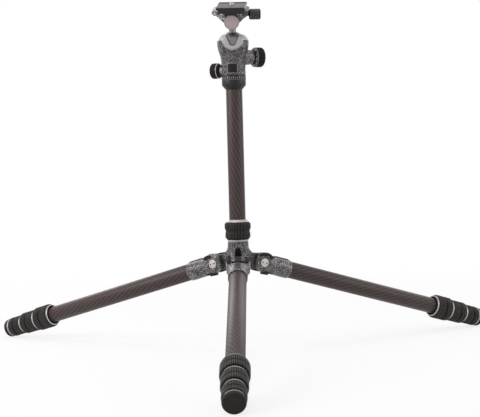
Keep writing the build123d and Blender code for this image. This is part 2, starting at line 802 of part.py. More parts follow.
def build_clamp():
    clamp = clamp_plane()
    front = Plane(origin=clamp.origin, x_dir=clamp.x_dir, z_dir=clamp.y_dir * -1)  # y up the neck
    screw_side = Plane(
        origin=clamp.origin + clamp.z_dir * clamp_screw_height,
        x_dir=clamp.z_dir,
        z_dir=clamp.y_dir,
    )  # x up from the screw's axis, y to the right along it
    screw_axis = Axis(screw_side.origin, clamp.x_dir)
    screw = clamp_screw_diameter / 2
    keel = keel_width / 2
    foot = dovetail_half
    waist = foot - dovetail_undercut
    dovetail_rise = foot - waist
    groove_foot = plate_bottom + dovetail_edge
    knob_start = moving_jaw_reach + 2 * side_gap

    with BuildPart(clamp) as ball:
        Sphere(ball_radius)
        with BuildSketch(clamp):
            Circle(neck_shaft_diameter / 2)
        extrude(amount=neck_shaft_end)
    keep(ball, "ball")

    # Base: a round cross piece on the neck, a keel that opens upwards and the fixed jaw
    slope = (clamp_floor - clamp_bottom) / (fixed_jaw_reach - keel)
    with BuildPart() as base:
        with BuildSketch(front):
            with Locations((0, barrel_height)):
                Circle(barrel_radius)
        extrude(amount=barrel_length / 2, both=True)
        body = outline(
            front,
            (-keel, clamp_bottom),
            (keel, clamp_bottom),
            (jaw_split, clamp_bottom + (jaw_split - keel) * slope),
            (jaw_split, clamp_floor),
            (-foot - side_gap, clamp_floor),
            (-foot - side_gap, groove_foot),
            (-waist - side_gap, groove_foot + dovetail_rise),
            (-waist - side_gap, jaw_top),
            (-foot - side_gap, jaw_top),
            (-fixed_jaw_reach, jaw_edge_height),
            (-fixed_jaw_reach, clamp_floor),
        )
        extrude(body, amount=clamp_depth / 2, both=True)
        for plane in (front.offset(barrel_length / 2), front.offset(-clamp_depth / 2)):
            with BuildSketch(plane):
                with Locations((0, tray_height)):
                    Rectangle(2 * fixed_jaw_reach, tray_height, align=(Align.CENTER, Align.MAX))
            extrude(amount=(clamp_depth - barrel_length) / 2, mode=Mode.SUBTRACT)
        with BuildSketch(clamp.offset(barrel_height - barrel_radius)):
            Circle(neck_shaft_diameter / 2 + running_fit)
        extrude(amount=neck_shaft_depth, mode=Mode.SUBTRACT)
        revolve(
            outline(screw_side, (0, jaw_split - clamp_screw_depth),
                    (screw + running_fit, jaw_split - clamp_screw_depth),
                    (screw + running_fit, jaw_split), (0, jaw_split)),
            axis=screw_axis,
            mode=Mode.SUBTRACT,
        )
    keep(base, "clamp_base")

    with BuildPart() as end_cap:
        with BuildSketch(front.offset(barrel_length / 2)):
            with Locations((0, barrel_height)):
                Circle(end_cap_diameter / 2)
        extrude(amount=end_cap_thickness)
        rim = end_cap.faces().sort_by(Axis(clamp.origin, clamp.y_dir * -1))[-1].edges()
        chamfer(rim, end_cap_thickness / 3)
    keep(end_cap, "clamp_end_cap")

    split = jaw_split + side_gap
    with BuildPart() as jaw:
        body = outline(
            front,
            (split, clamp_bottom + (split - keel) * slope),
            (moving_jaw_reach, clamp_bottom + (moving_jaw_reach - keel) * slope),
            (moving_jaw_reach, jaw_edge_height),
            (foot + side_gap, jaw_top),
            (waist + side_gap, jaw_top),
            (waist + side_gap, groove_foot + dovetail_rise),
            (foot + side_gap, groove_foot),
            (foot + side_gap, clamp_floor + side_gap),
            (split, clamp_floor + side_gap),
        )
        extrude(body, amount=clamp_depth / 2, both=True)
        revolve(
            outline(screw_side, (0, 0), (screw + running_fit, 0),
                    (screw + running_fit, fixed_jaw_reach), (0, fixed_jaw_reach)),
            axis=screw_axis,
            mode=Mode.SUBTRACT,
        )
    keep(jaw, "clamp_jaw")

    with BuildPart() as knob:
        shape = knob_profile(
            clamp_knob_diameter / 2, knob_start, knob_start + clamp_knob_length, screw,
            jaw_split - clamp_screw_depth + 2 * side_gap,
        )
        revolve(outline(screw_side, *shape), axis=screw_axis)
    keep(knob, "clamp_knob")

    # Plate: a slab over a dovetail, with a stepped hole for the camera screw
    slab = plate_top - plate_slab
    head = screw_head_diameter / 2
    thread = camera_screw_diameter / 2
    head_top_face = plate_bottom + screw_head_recess + screw_head_height
    with BuildPart() as plate:
        half = foot + plate_overhang
        body = outline(
            front,
            (-foot, plate_bottom),
            (foot, plate_bottom),
            (foot, groove_foot),
            (waist, groove_foot + dovetail_rise),
            (waist, slab),
            (half, slab),
            (half, plate_top),
            (-half, plate_top),
            (-half, slab),
            (-waist, slab),
            (-waist, groove_foot + dovetail_rise),
            (-foot, groove_foot),
        )
        extrude(body, amount=plate_length / 2, both=True)
        with BuildSketch(clamp.offset(plate_bottom)):
            Circle(thread + side_gap)
        extrude(amount=plate_top - plate_bottom, mode=Mode.SUBTRACT)
        with BuildSketch(clamp.offset(plate_bottom)):
            Circle(head + side_gap)
        extrude(amount=head_top_face + side_gap - plate_bottom, mode=Mode.SUBTRACT)
    keep(plate, "quick_release_plate")

    with BuildPart() as camera_screw:
        with BuildSketch(clamp.offset(head_top_face - screw_head_height)):
            Circle(head)
        extrude(amount=screw_head_height)
        with BuildSketch(clamp.offset(head_top_face)):
            Circle(camera_shank_diameter / 2)
        extrude(amount=plate_top + side_gap - head_top_face)
        with BuildSketch(clamp.offset(plate_top + side_gap)):
            Circle(thread)
        extrude(amount=camera_screw_rise - side_gap)
    keep(camera_screw, "camera_screw")


os.makedirs("parts", exist_ok=True)
build_hub()
build_column()
build_head()
build_clamp()
for leg_side, leg_direction in leg_directions.items():
    build_leg(leg_side, leg_direction)
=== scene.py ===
import bpy
import bmesh
import json
import math
from mathutils import Matrix, Vector


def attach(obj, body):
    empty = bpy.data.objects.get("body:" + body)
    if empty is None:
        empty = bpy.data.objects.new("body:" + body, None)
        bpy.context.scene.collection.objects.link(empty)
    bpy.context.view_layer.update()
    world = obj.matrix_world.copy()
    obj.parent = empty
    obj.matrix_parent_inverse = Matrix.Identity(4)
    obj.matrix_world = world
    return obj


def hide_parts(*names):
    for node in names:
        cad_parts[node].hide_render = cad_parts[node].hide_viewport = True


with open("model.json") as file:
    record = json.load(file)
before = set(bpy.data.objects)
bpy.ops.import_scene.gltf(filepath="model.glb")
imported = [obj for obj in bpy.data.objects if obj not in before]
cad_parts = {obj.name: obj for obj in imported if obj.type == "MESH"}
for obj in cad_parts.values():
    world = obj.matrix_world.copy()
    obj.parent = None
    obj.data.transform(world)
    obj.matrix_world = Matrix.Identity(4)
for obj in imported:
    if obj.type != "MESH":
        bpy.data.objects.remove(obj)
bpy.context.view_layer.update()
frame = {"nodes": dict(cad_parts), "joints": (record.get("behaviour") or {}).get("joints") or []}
joints = {j["name"]: j for j in frame["joints"]}
sides = ("front", "right", "left")
mm = 0.001
print("frame loaded:", len(frame["nodes"]), "nodes")


# Local frames: z along a piece's own axis, taken from the joints
def frameOn(origin, along, across):
    z = Vector(along).normalized()
    x = Vector(across)
    x = (x - z * x.dot(z)).normalized()
    y = z.cross(x)
    turn = Matrix((x, y, z)).transposed().to_4x4()
    return Matrix.Translation(Vector(origin)) @ turn


hingeLevel = joints["front_leg_hinge"]["pos_m"][2]
columnFrame = frameOn((0, 0, hingeLevel), (0, 0, 1), (1, 0, 0))
clampFrame = frameOn(
    joints["ball_tilt"]["pos_m"], joints["clamp_spin"]["axis"], joints["clamp_jaw_slide"]["axis"]
)
legFrames = {
    s: frameOn(
        joints[s + "_leg_hinge"]["pos_m"], joints[s + "_lock_1_twist"]["axis"],
        joints[s + "_leg_hinge"]["axis"],
    )
    for s in sides
}


def jointFrame(joint, across=(0, 0, 1)):
    return frameOn(joints[joint]["pos_m"], joints[joint]["axis"], across)


def pointsIn(node, place):
    inward = place.inverted()
    return [inward @ v.co / mm for v in frame["nodes"][node].data.vertices]


def reach(node, place):
    # start, end and largest radius of a node about the axis of a local frame, in mm
    points = pointsIn(node, place)
    along = [p.z for p in points]
    return min(along), max(along), max(math.hypot(p.x, p.y) for p in points)


def span(node, place):
    # lowest and highest corner of a node in a local frame, in mm
    columns = list(zip(*pointsIn(node, place)))
    return Vector([min(c) for c in columns]), Vector([max(c) for c in columns])


# Node helpers: a socket given as a value becomes a link
def feed(tree, socket, value):
    if isinstance(value, bpy.types.NodeSocket):
        tree.links.new(value, socket)
    else:
        socket.default_value = value


def fill(tree, node, values):
    for key, value in values.items():
        if key in node.inputs:
            feed(tree, node.inputs[key], value)
        else:
            setattr(node, key, value)
    return node


def addNode(tree, kind, **values):
    return fill(tree, tree.nodes.new(kind), values)


def inOrder(tree, node, *values):
    for socket, value in zip(node.inputs, values):
        feed(tree, socket, value)
    return node.outputs[0]


def calc(tree, operation, *values):
    return inOrder(tree, addNode(tree, "ShaderNodeMath", operation=operation), *values)


# Material helpers
def newLook(name, baseColor, roughness, metallic=0.0, specular=0.5):
    look = bpy.data.materials.new(name)
    look.use_nodes = True
    look.diffuse_color = (*baseColor, 1)
    shader = fill(look.node_tree, look.node_tree.nodes["Principled BSDF"], {
        "Base Color": (*baseColor, 1), "Roughness": roughness, "Metallic": metallic,
        "Specular IOR Level": specular,
    })
    return look, look.node_tree, shader


def objectPlace(tree, place=None):
    # object coordinates, turned into a local frame where one is given
    coords = tree.nodes.new("ShaderNodeTexCoord").outputs["Object"]
    if place is None:
        return coords
    mapping = addNode(tree, "ShaderNodeMapping", vector_type="TEXTURE", Vector=coords,
                      Location=place.to_translation(), Rotation=place.to_euler())
    return mapping.outputs["Vector"]


def noiseOn(tree, coords, scale, detail=2.0, roughness=0.5):
    return addNode(tree, "ShaderNodeTexNoise", Vector=coords, Scale=scale, Detail=detail,
                   Roughness=roughness).outputs["Fac"]


def blended(tree, total, *parts):
    # a first value and the sum of (value, share) pairs
    for value, share in parts:
        total = calc(tree, "MULTIPLY_ADD", value, share, total)
    return total


def shade(color, factor):
    return tuple(c * factor for c in color)


def colorInto(tree, shader, tone, color, stops):
    # the colour made darker and lighter along the tone, by stops of (tone, factor)
    ramp = addNode(tree, "ShaderNodeValToRGB", Fac=tone)
    elements = ramp.color_ramp.elements
    while len(elements) < len(stops):
        elements.new(0.5)
    for element, (position, factor) in zip(elements, stops):
        element.position = position
        element.color = (*shade(color, factor), 1)
    fill(tree, shader, {"Base Color": ramp.outputs["Color"]})


def bumpInto(tree, shader, height, distance, strength):
    bump = addNode(tree, "ShaderNodeBump", Strength=strength, Distance=distance * mm, Height=height)
    fill(tree, shader, {"Normal": bump.outputs["Normal"]})


carbonLook = {
    "color": (0.058, 0.0385, 0.038),
    "stops": ((0.1, 0.45), (0.55, 1), (1.0, 1.55)),
    "tows": 12,  # tows round the tube
    "streaks": 13,  # lit streaks round the tube
    "streakLean": 0.47,  # tangent of their angle to the tube
    "fibres": 260,
    "baseTone": 0.22,
    "toneShares": (0.25, 0.5, 0.35),  # of tows, streaks and fibres
    "roughness": 0.42,
    "specular": 0.22,
    "coat": 0.03,
    "coatRoughness": 0.3,
    "bump": (0.12, 0.22),  # distance in mm, strength
}


def carbonWeave(name, place, radius):
    # two families of diagonal tows that cross over and under round the tube
    p = carbonLook
    look, tree, shader = newLook(name, p["color"], p["roughness"], 0.0, p["specular"])
    coords = objectPlace(tree, place)
    x, y, along = addNode(tree, "ShaderNodeSeparateXYZ", Vector=coords).outputs
    turn = calc(tree, "ARCTAN2", y, x)
    waves = p["tows"] / 2
    around = calc(tree, "MULTIPLY", turn, waves)
    climb = calc(tree, "MULTIPLY", along, waves / (radius * mm))
    rising = calc(tree, "SINE", calc(tree, "ADD", around, climb))
    falling = calc(tree, "SINE", calc(tree, "SUBTRACT", around, climb))
    onTop = calc(tree, "GREATER_THAN", calc(tree, "MULTIPLY", rising, falling), 0.0)
    height = addNode(tree, "ShaderNodeMix", Factor=onTop, A=calc(tree, "ABSOLUTE", rising),
                     B=calc(tree, "ABSOLUTE", falling)).outputs["Result"]
    fibre = noiseOn(tree, coords, p["fibres"], 3, 0.6)
    # the fibres catch light in short slanting streaks
    slant = calc(tree, "MULTIPLY", along, p["streakLean"] * p["streaks"] / (radius * mm))
    streak = calc(tree, "SINE", calc(tree, "MULTIPLY_ADD", turn, p["streaks"], slant))
    streak = calc(tree, "MULTIPLY", streak, fibre)
    tone = blended(tree, p["baseTone"], *zip((height, streak, fibre), p["toneShares"]))
    colorInto(tree, shader, tone, p["color"], p["stops"])
    fill(tree, shader, {"Coat Weight": p["coat"], "Coat Roughness": p["coatRoughness"]})
    bumpInto(tree, shader, height, *p["bump"])
    return look


hammeredLook = {
    "color": (0.122, 0.112, 0.113),
    "stops": ((0.36, 0.04), (0.62, 1), (0.86, 2.5)),
    "cells": 310,  # cells per metre
    "wander": 1.8,  # how far the seams wander, in mm
    "wanderScale": 620,
    "fineScale": 1100,
    "broadScale": 120,
    "toneShares": (1.2, 0.5, 0.25),  # of cells, fine and broad grain
    "roughness": 0.38,
    "metallic": 0.35,
    "bump": (0.4, 0.4),
}


def hammeredPaint(name, tint=1.0):
    # dark seams that wander between light cells
    p = hammeredLook
    base = shade(p["color"], tint)
    look, tree, shader = newLook(name, base, p["roughness"], p["metallic"])
    coords = objectPlace(tree)
    wander = addNode(tree, "ShaderNodeTexNoise", Vector=coords, Scale=p["wanderScale"], Detail=2.0)
    shift = addNode(tree, "ShaderNodeVectorMath", operation="MULTIPLY_ADD")
    seams = inOrder(tree, shift, wander.outputs["Color"], (p["wander"] * mm,) * 3, coords)
    cells = addNode(tree, "ShaderNodeTexVoronoi", feature="DISTANCE_TO_EDGE", Vector=seams,
                    Scale=p["cells"])
    fine = noiseOn(tree, coords, p["fineScale"], 3, 0.6)
    broad = noiseOn(tree, coords, p["broadScale"], 3, 0.5)
    tone = blended(tree, 0.0, *zip((cells.outputs["Distance"], fine, broad), p["toneShares"]))
    colorInto(tree, shader, tone, base, p["stops"])
    bumpInto(tree, shader, tone, *p["bump"])
    return look


# fine is the fine noise's roughness, broad is the broad noise's scale, detail and roughness
blackGrain = {"fine": 0.6, "broad": (55, 4, 0.6), "toneShares": (0.5, 0.5), "spread": 0.2, "bump": 0.3,
              "stops": ((0.3, 0.7), (0.55, 1), (0.8, 1.6))}
blastGrain = {"fine": 0.7, "broad": (70, 3, 0.5), "toneShares": (0.4, 0.6), "spread": 0.16,
              "bump": 0.25, "stops": ((0.3, 0.86), (0.5, 1), (0.75, 1.08)), "depth": 0.05}


def grained(p, name, color, roughness, grain, depth, metallic, specular):
    look, tree, shader = newLook(name, color, roughness, metallic, specular)
    coords = objectPlace(tree)
    fine = noiseOn(tree, coords, grain, 2, p["fine"])
    broad = noiseOn(tree, coords, *p["broad"])
    tone = blended(tree, 0.0, *zip((fine, broad), p["toneShares"]))
    colorInto(tree, shader, tone, color, p["stops"])
    rough = calc(tree, "MULTIPLY_ADD", broad, p["spread"], roughness - p["spread"] / 2)
    fill(tree, shader, {"Roughness": rough})
    bumpInto(tree, shader, fine, depth, p["bump"])
    return look


def grainedBlack(name, color, roughness, grain, depth, specular=0.2):
    # rubber, moulded plastic, paint and black anodising
    return grained(blackGrain, name, color, roughness, grain, depth, 0.0, specular)


def blastedMetal(name, color, roughness, metallic, grain=1800):
    # fine bead-blasted metal with faint smudges
    return grained(blastGrain, name, color, roughness, grain, blastGrain["depth"], metallic, 0.5)


turnedLook = {"metallic": 0.85, "grooveShare": 0.05, "smudges": 90, "bump": (0.02, 0.2),
              "stops": ((0.25, 0.8), (0.5, 1), (0.8, 1.12))}


def turnedMetal(name, place, color, roughness, lines=1500):
    # fine lathe lines round an axis
    p = turnedLook
    look, tree, shader = newLook(name, color, roughness, p["metallic"])
    coords = objectPlace(tree, place)
    x, y, along = addNode(tree, "ShaderNodeSeparateXYZ", Vector=coords).outputs
    squares = calc(tree, "ADD", calc(tree, "POWER", x, 2.0), calc(tree, "POWER", y, 2.0))
    out = calc(tree, "ADD", calc(tree, "SQRT", squares), along)
    grooves = calc(tree, "SINE", calc(tree, "MULTIPLY", out, 2 * math.pi * lines))
    tone = blended(tree, noiseOn(tree, coords, p["smudges"], 3, 0.5), (grooves, p["grooveShare"]))
    colorInto(tree, shader, tone, color, p["stops"])
    bumpInto(tree, shader, grooves, *p["bump"])
    return look


blackRubber = grainedBlack("blackRubber", (0.018, 0.0158, 0.014), 0.6, 900, 0.12)
# lighter rubber on the rib crowns: painted sheen
ribRubberSheen = grainedBlack("ribRubberSheen", (0.07, 0.062, 0.059), 0.5, 900, 0.12, specular=0.35)
# a dimmer painted sheen on the column lock's rib crowns
ribRubberDimSheen = grainedBlack("ribRubberDimSheen", (0.05, 0.044, 0.041), 0.5, 900, 0.12, specular=0.3)
# lighter rubber on the clamp knob's studs: painted sheen
studRubberSheen = grainedBlack("studRubberSheen", (0.11, 0.1, 0.099), 0.45, 900, 0.12, specular=0.4)
# near-black for the floors of grooves, recesses, pin holes and seats: painted shade
paintedShadeBlack = grainedBlack("paintedShadeBlack", (0.006, 0.0055, 0.0055), 0.8, 700, 0.1, specular=0.08)
blackPlastic = grainedBlack("blackPlastic", (0.0115, 0.0105, 0.01), 0.45, 1300, 0.08)
blackAnodised = grainedBlack("blackAnodised", (0.012, 0.011, 0.011), 0.42, 2200, 0.03, specular=0.3)
nylonGrey = grainedBlack("nylonGrey", (0.05, 0.048, 0.048), 0.55, 700, 0.05)
dimRing = blastedMetal("dimRing", (0.2, 0.19, 0.19), 0.4, 0.4)
hammeredGrey = hammeredPaint("hammeredGrey")
hammeredLight = hammeredPaint("hammeredLight", 1.3)
# lighter tint for the fork cheeks and selector blocks: painted highlight
hammeredCheekHighlight = hammeredPaint("hammeredCheekHighlight", 1.9)
# much lighter tint for the clamp's left wing: painted highlight
hammeredSilverHighlight = hammeredPaint("hammeredSilverHighlight", 3.6)
# darker tint for the hub's tongues: painted shade
hammeredPaintedShade = hammeredPaint("hammeredPaintedShade", 0.45)
brightAluminium = blastedMetal("brightAluminium", (0.43, 0.42, 0.42), 0.42, 0.35)
ringAluminium = blastedMetal("ringAluminium", (0.46, 0.428, 0.423), 0.4, 0.35)
jawAluminium = blastedMetal("jawAluminium", (0.3, 0.28, 0.28), 0.42, 0.35)
pinkishAluminium = blastedMetal("pinkishAluminium", (0.41, 0.338, 0.348), 0.45, 0.35)
plateGrey = blastedMetal("plateGrey", (0.09, 0.075, 0.075), 0.5, 0.3, 1200)
tickPaint = grainedBlack("tickPaint", (0.42, 0.4, 0.4), 0.6, 900, 0.02)
railGrey = grainedBlack("railGrey", (0.055, 0.05, 0.05), 0.45, 1300, 0.05, specular=0.3)
screwSteel = turnedMetal("screwSteel", clampFrame, (0.55, 0.54, 0.54), 0.3)
ballSteel = turnedMetal("ballSteel", clampFrame, (0.2, 0.19, 0.19), 0.34, 900)
capSteel = blastedMetal("capSteel", (0.52, 0.46, 0.46), 0.34, 0.6)
print("materials ready")


# Mesh helpers. Profiles are (radius, along) points in mm about a local z axis.
weld = 1e-6  # points nearer than this become one, in m
sliver = 1e-7
cornerLimits = {"axis": 1e-6, "straight": 0.05, "share": 0.45}  # radius, angle, part of an edge
edgeAngles = {"flat": 1, "bevel": 28, "cast": 35, "turned": 38}  # degrees


def rounded(points, size, steps=4):
    # the closed profile with its corners rounded, except on the axis
    limit = cornerLimits
    result = []
    count = len(points)
    for i, corner in enumerate(points):
        here = Vector(corner)
        before = Vector(points[i - 1]) - here
        after = Vector(points[(i + 1) % count]) - here
        turn = before.angle(after, 0)
        if abs(here.x) < limit["axis"] or not limit["straight"] < turn < math.pi - limit["straight"]:
            result.append(here)
            continue
        cut = min(size / math.tan(turn / 2), limit["share"] * min(before.length, after.length))
        start = here + before.normalized() * cut
        end = here + after.normalized() * cut
        for k in range(steps + 1):
            t = k / steps
            result.append(start * (1 - t) ** 2 + here * 2 * t * (1 - t) + end * t ** 2)
    return result


def placed(name, data):
    item = bpy.data.objects.new(name, data)
    bpy.context.scene.collection.objects.link(item)
    return item


def modify(item, kind, **settings):
    modifier = item.modifiers.new(kind.lower(), kind)
    for key, value in settings.items():
        setattr(modifier, key, value)
    return modifier


def applied(item):
    # the item's mesh with its modifiers
    graph = bpy.context.evaluated_depsgraph_get()
    return bpy.data.meshes.new_from_object(item.evaluated_get(graph))


def meshFrom(work, name, look=None):
    mesh = bpy.data.meshes.new(name)
    work.to_mesh(mesh)
    work.free()
    if look:
        mesh.materials.append(look)
    return mesh


def moved(mesh, place):
    mesh.transform(place)
    return mesh


def onCircle(radius, angle, along):
    return radius * math.cos(angle), radius * math.sin(angle), along


def lofted(rows, loop=False):
    # rings of as many points each, joined in turn and closed at both ends, or to one another
    work = bmesh.new()
    rings = [[work.verts.new(point) for point in row] for row in rows]
    for one, two in zip(rings, rings[1:] + rings[:1] if loop else rings[1:]):
        for i in range(len(one)):
            j = (i + 1) % len(one)
            work.faces.new((one[i], one[j], two[j], two[i]))
    if not loop:
        work.faces.new(rings[0])
        work.faces.new(rings[-1])
    bmesh.ops.recalc_face_normals(work, faces=work.faces)
    return work


def stacked(name, rows, look):
    # a loft of rows in mm
    return meshFrom(lofted([[Vector(point) * mm for point in row] for row in rows]), name, look)


def boxBetween(low, high):
    # a box between two corners, in mm
    low, high = Vector(low) * mm, Vector(high) * mm
    work = bmesh.new()
    bmesh.ops.create_cube(
        work, size=1.0, matrix=Matrix.Translation((low + high) / 2) @ Matrix.Diagonal((*(high - low), 1))
    )
    return work


def beveled(work, edges, width):
    bmesh.ops.bevel(work, geom=edges, offset=width * mm, segments=2, affect="EDGES", profile=0.5)
    bmesh.ops.recalc_face_normals(work, faces=work.faces)
    return work


def turned(points, look, segments=64):
    # a closed profile spun round z
    angles = [2 * math.pi * k / segments for k in range(segments)]
    work = lofted([[onCircle(r * mm, angle, z * mm) for r, z in points] for angle in angles], loop=True)
    bmesh.ops.remove_doubles(work, verts=work.verts, dist=weld)
    bmesh.ops.dissolve_degenerate(work, dist=sliver, edges=work.edges)
    bmesh.ops.recalc_face_normals(work, faces=work.faces)
    return meshFrom(work, "turned", look)


def band(inner, outer, low, high, look, edge, slant=0.0, segments=64):
    # a ring, narrower by the slant at its lower end
    corners = [(inner, high), (inner, low), (outer - slant, low), (outer, high)]
    return turned(rounded(corners, edge, 2), look, segments)


def paint(mesh, look, test):
    # another material on the faces whose centre (radius, along) in mm passes the test
    mesh.materials.append(look)
    index = len(mesh.materials) - 1
    for face in mesh.polygons:
        if test(math.hypot(face.center.x, face.center.y) / mm, face.center.z / mm):
            face.material_index = index
    return mesh


def settle(piece, body, slot, *nodes):
    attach(piece, body)
    if nodes:
        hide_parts(*nodes)


def smoothed(mesh, angle):
    mesh.polygons.foreach_set("use_smooth", [True] * len(mesh.polygons))
    mesh.set_sharp_from_angle(angle=math.radians(angle))


def joined(name, place, meshes, body, slot, *nodes):
    # one piece on a body, from meshes of one local frame
    work = bmesh.new()
    looks = []
    for mesh in meshes:
        first = len(work.faces)
        work.from_mesh(mesh)
        work.faces.ensure_lookup_table()
        for face in work.faces[first:]:
            look = mesh.materials[face.material_index]
            if look not in looks:
                looks.append(look)
            face.material_index = looks.index(look)
        bpy.data.meshes.remove(mesh)
    result = meshFrom(work, name)
    for look in looks:
        result.materials.append(look)
    result.transform(place)
    smoothed(result, edgeAngles["turned"])
    settle(placed(name, result), body, slot, *nodes)


# Geometry Nodes: copies of one rib or tick on a ring, each facing outwards
ringInputs = (
    ("Count", "NodeSocketInt"), ("Radius", "NodeSocketFloat"), ("Width", "NodeSocketFloat"),
    ("Shape", "NodeSocketObject"), ("Look", "NodeSocketMaterial"),
)


def ringTree():
    tree = bpy.data.node_groups.new("copiesOnRing", "GeometryNodeTree")
    for label, kind in ringInputs:
        tree.interface.new_socket(label, in_out="INPUT", socket_type=kind)
    tree.interface.new_socket("Geometry", in_out="OUTPUT", socket_type="NodeSocketGeometry")
    source = tree.nodes.new("NodeGroupInput").outputs
    circle = addNode(tree, "GeometryNodeMeshCircle", Vertices=source["Count"], Radius=source["Radius"])
    position = tree.nodes.new("GeometryNodeInputPosition")
    outward = addNode(tree, "FunctionNodeAlignRotationToVector", axis="X", pivot_axis="Z",
                      Vector=position.outputs["Position"])
    size = addNode(tree, "ShaderNodeCombineXYZ", X=1.0, Y=source["Width"], Z=1.0)
    shape = addNode(tree, "GeometryNodeObjectInfo", Object=source["Shape"])
    copies = addNode(tree, "GeometryNodeInstanceOnPoints", Points=circle.outputs["Mesh"],
                     Instance=shape.outputs["Geometry"], Rotation=outward.outputs["Rotation"],
                     Scale=size.outputs["Vector"])
    real = addNode(tree, "GeometryNodeRealizeInstances", Geometry=copies.outputs["Instances"])
    finish = addNode(tree, "GeometryNodeSetMaterial", Geometry=real.outputs["Geometry"],
                     Material=source["Look"])
    addNode(tree, "NodeGroupOutput", Geometry=finish.outputs["Geometry"])
    return tree


copiesOnRing = ringTree()


# a rib's section: shares of its height, or mm where it is rooted, and of its width
ribSection = ((-0.4, -0.5), (0.75, -0.4), (1, 0), (0.75, 0.4), (-0.4, 0.5))
ribEnd = 0.15  # height left at its ends, as a share


def ribAlong(points, height):
    # a rib of unit width that stands on a line of (radius offset, along) points in mm
    rows = []
    for k, (offset, along) in enumerate(points):
        rise = height * (ribEnd if k in (0, len(points) - 1) else 1)
        rows.append([((offset + (rise * x if x > 0 else x)) * mm, y, along * mm) for x, y in ribSection])
    return lofted(rows)


def ringOf(work, look, count, radius, width):
    # copies of a shape by the node tree, run once and kept as a plain mesh, sizes in mm
    shape = bpy.data.objects.new("ringShape", meshFrom(work, "ringShape"))
    carrier = placed("carrier", bpy.data.meshes.new("carrier"))
    modifier = modify(carrier, "NODES", node_group=copiesOnRing)
    values = {"Count": count, "Radius": radius * mm, "Width": width * mm, "Shape": shape, "Look": look}
    for item in copiesOnRing.interface.items_tree:
        if item.in_out == "INPUT":
            modifier[item.identifier] = values[item.name]
    mesh = applied(carrier)
    bpy.data.objects.remove(carrier)
    bpy.data.objects.remove(shape)
    return mesh


def ribsOn(points, look, count, height, share):
    # ribs that follow part of a turned profile, share is rib width over pitch
    radius = max(p[0] for p in points)
    shape = ribAlong([(r - radius, z) for r, z in points], height)
    return ringOf(shape, look, count, radius, share * 2 * math.pi * radius / count)


def softened(node, look, width, body, slot, paints=(), cuts=(), reshape=None, melt=None):
    # a copy of a CAD node with its edges rounded; paints give other looks by a rule on a face's
    # centre in mm and its normal, both in local frames, cuts are planes that part the faces for
    # them, reshape moves the points, and melt is for a casting whose forms flow together
    mesh = frame["nodes"][node].data.copy()
    work = bmesh.new()
    work.from_mesh(mesh)
    bmesh.ops.remove_doubles(work, verts=work.verts, dist=2 * weld)
    bmesh.ops.dissolve_limit(
        work, angle_limit=math.radians(edgeAngles["flat"]), verts=work.verts, edges=work.edges
    )
    for point, normal in cuts:
        every = work.verts[:] + work.edges[:] + work.faces[:]
        bmesh.ops.bisect_plane(work, geom=every, dist=sliver, plane_co=point, plane_no=normal)
    if reshape:
        for vertex in work.verts:
            vertex.co = reshape(vertex.co)
    work.to_mesh(mesh)
    work.free()
    mesh.materials.clear()
    mesh.materials.append(look)
    piece = placed(node + "_soft", mesh)
    if melt:
        modify(piece, "REMESH", mode="VOXEL", voxel_size=melt["cell"] * mm)
        modify(piece, "SMOOTH", factor=melt["factor"], iterations=melt["rounds"])
    else:
        modify(piece, "BEVEL", width=width * mm, segments=2, limit_method="ANGLE",
               angle_limit=math.radians(edgeAngles["bevel"]), use_clamp_overlap=True)
    final = applied(piece)
    piece.modifiers.clear()
    piece.data = final
    bpy.data.meshes.remove(mesh)
    for extra, rule, *places in paints:
        final.materials.append(extra)
        for inward in (place.inverted() for place in places):
            for face in final.polygons:
                if rule(inward @ face.center / mm, inward.to_3x3() @ face.normal):
                    face.material_index = len(final.materials) - 1
    smoothed(final, edgeAngles["cast"])
    settle(piece, body, slot, node)


# Leg twist locks: two ribbed bands, a waist and a bright ring let into the top
tubeGap = 0.3  # drawn between a tube and what is round it
lockParts = {
    "ribs": 52,
    "ribHeight": 0.75,
    "ribShare": 0.46,  # rib width over pitch
    "waist": 1.0,  # depth of the waist between the bands
    "waistHalf": 1.8,  # half its length, and the part of that without ribs
    "bareHalf": 0.8,
    "edge": 0.7,
    "ringOut": (2.2, 1.1, 1.1),  # ring radii inside the grip radius, by lock
    "ringIn": (3.7, 3.1, 3.1),
    "ringHeight": 2.3,
    "ringEdge": 0.3,
    "shoulder": 5.0,  # where the upper band reaches its full radius
    "recess": 1.6,  # how far the top sinks inside the ring
    "endBevel": 1.6,
    "endLength": 2.2,
    "lip": 3.0,
}


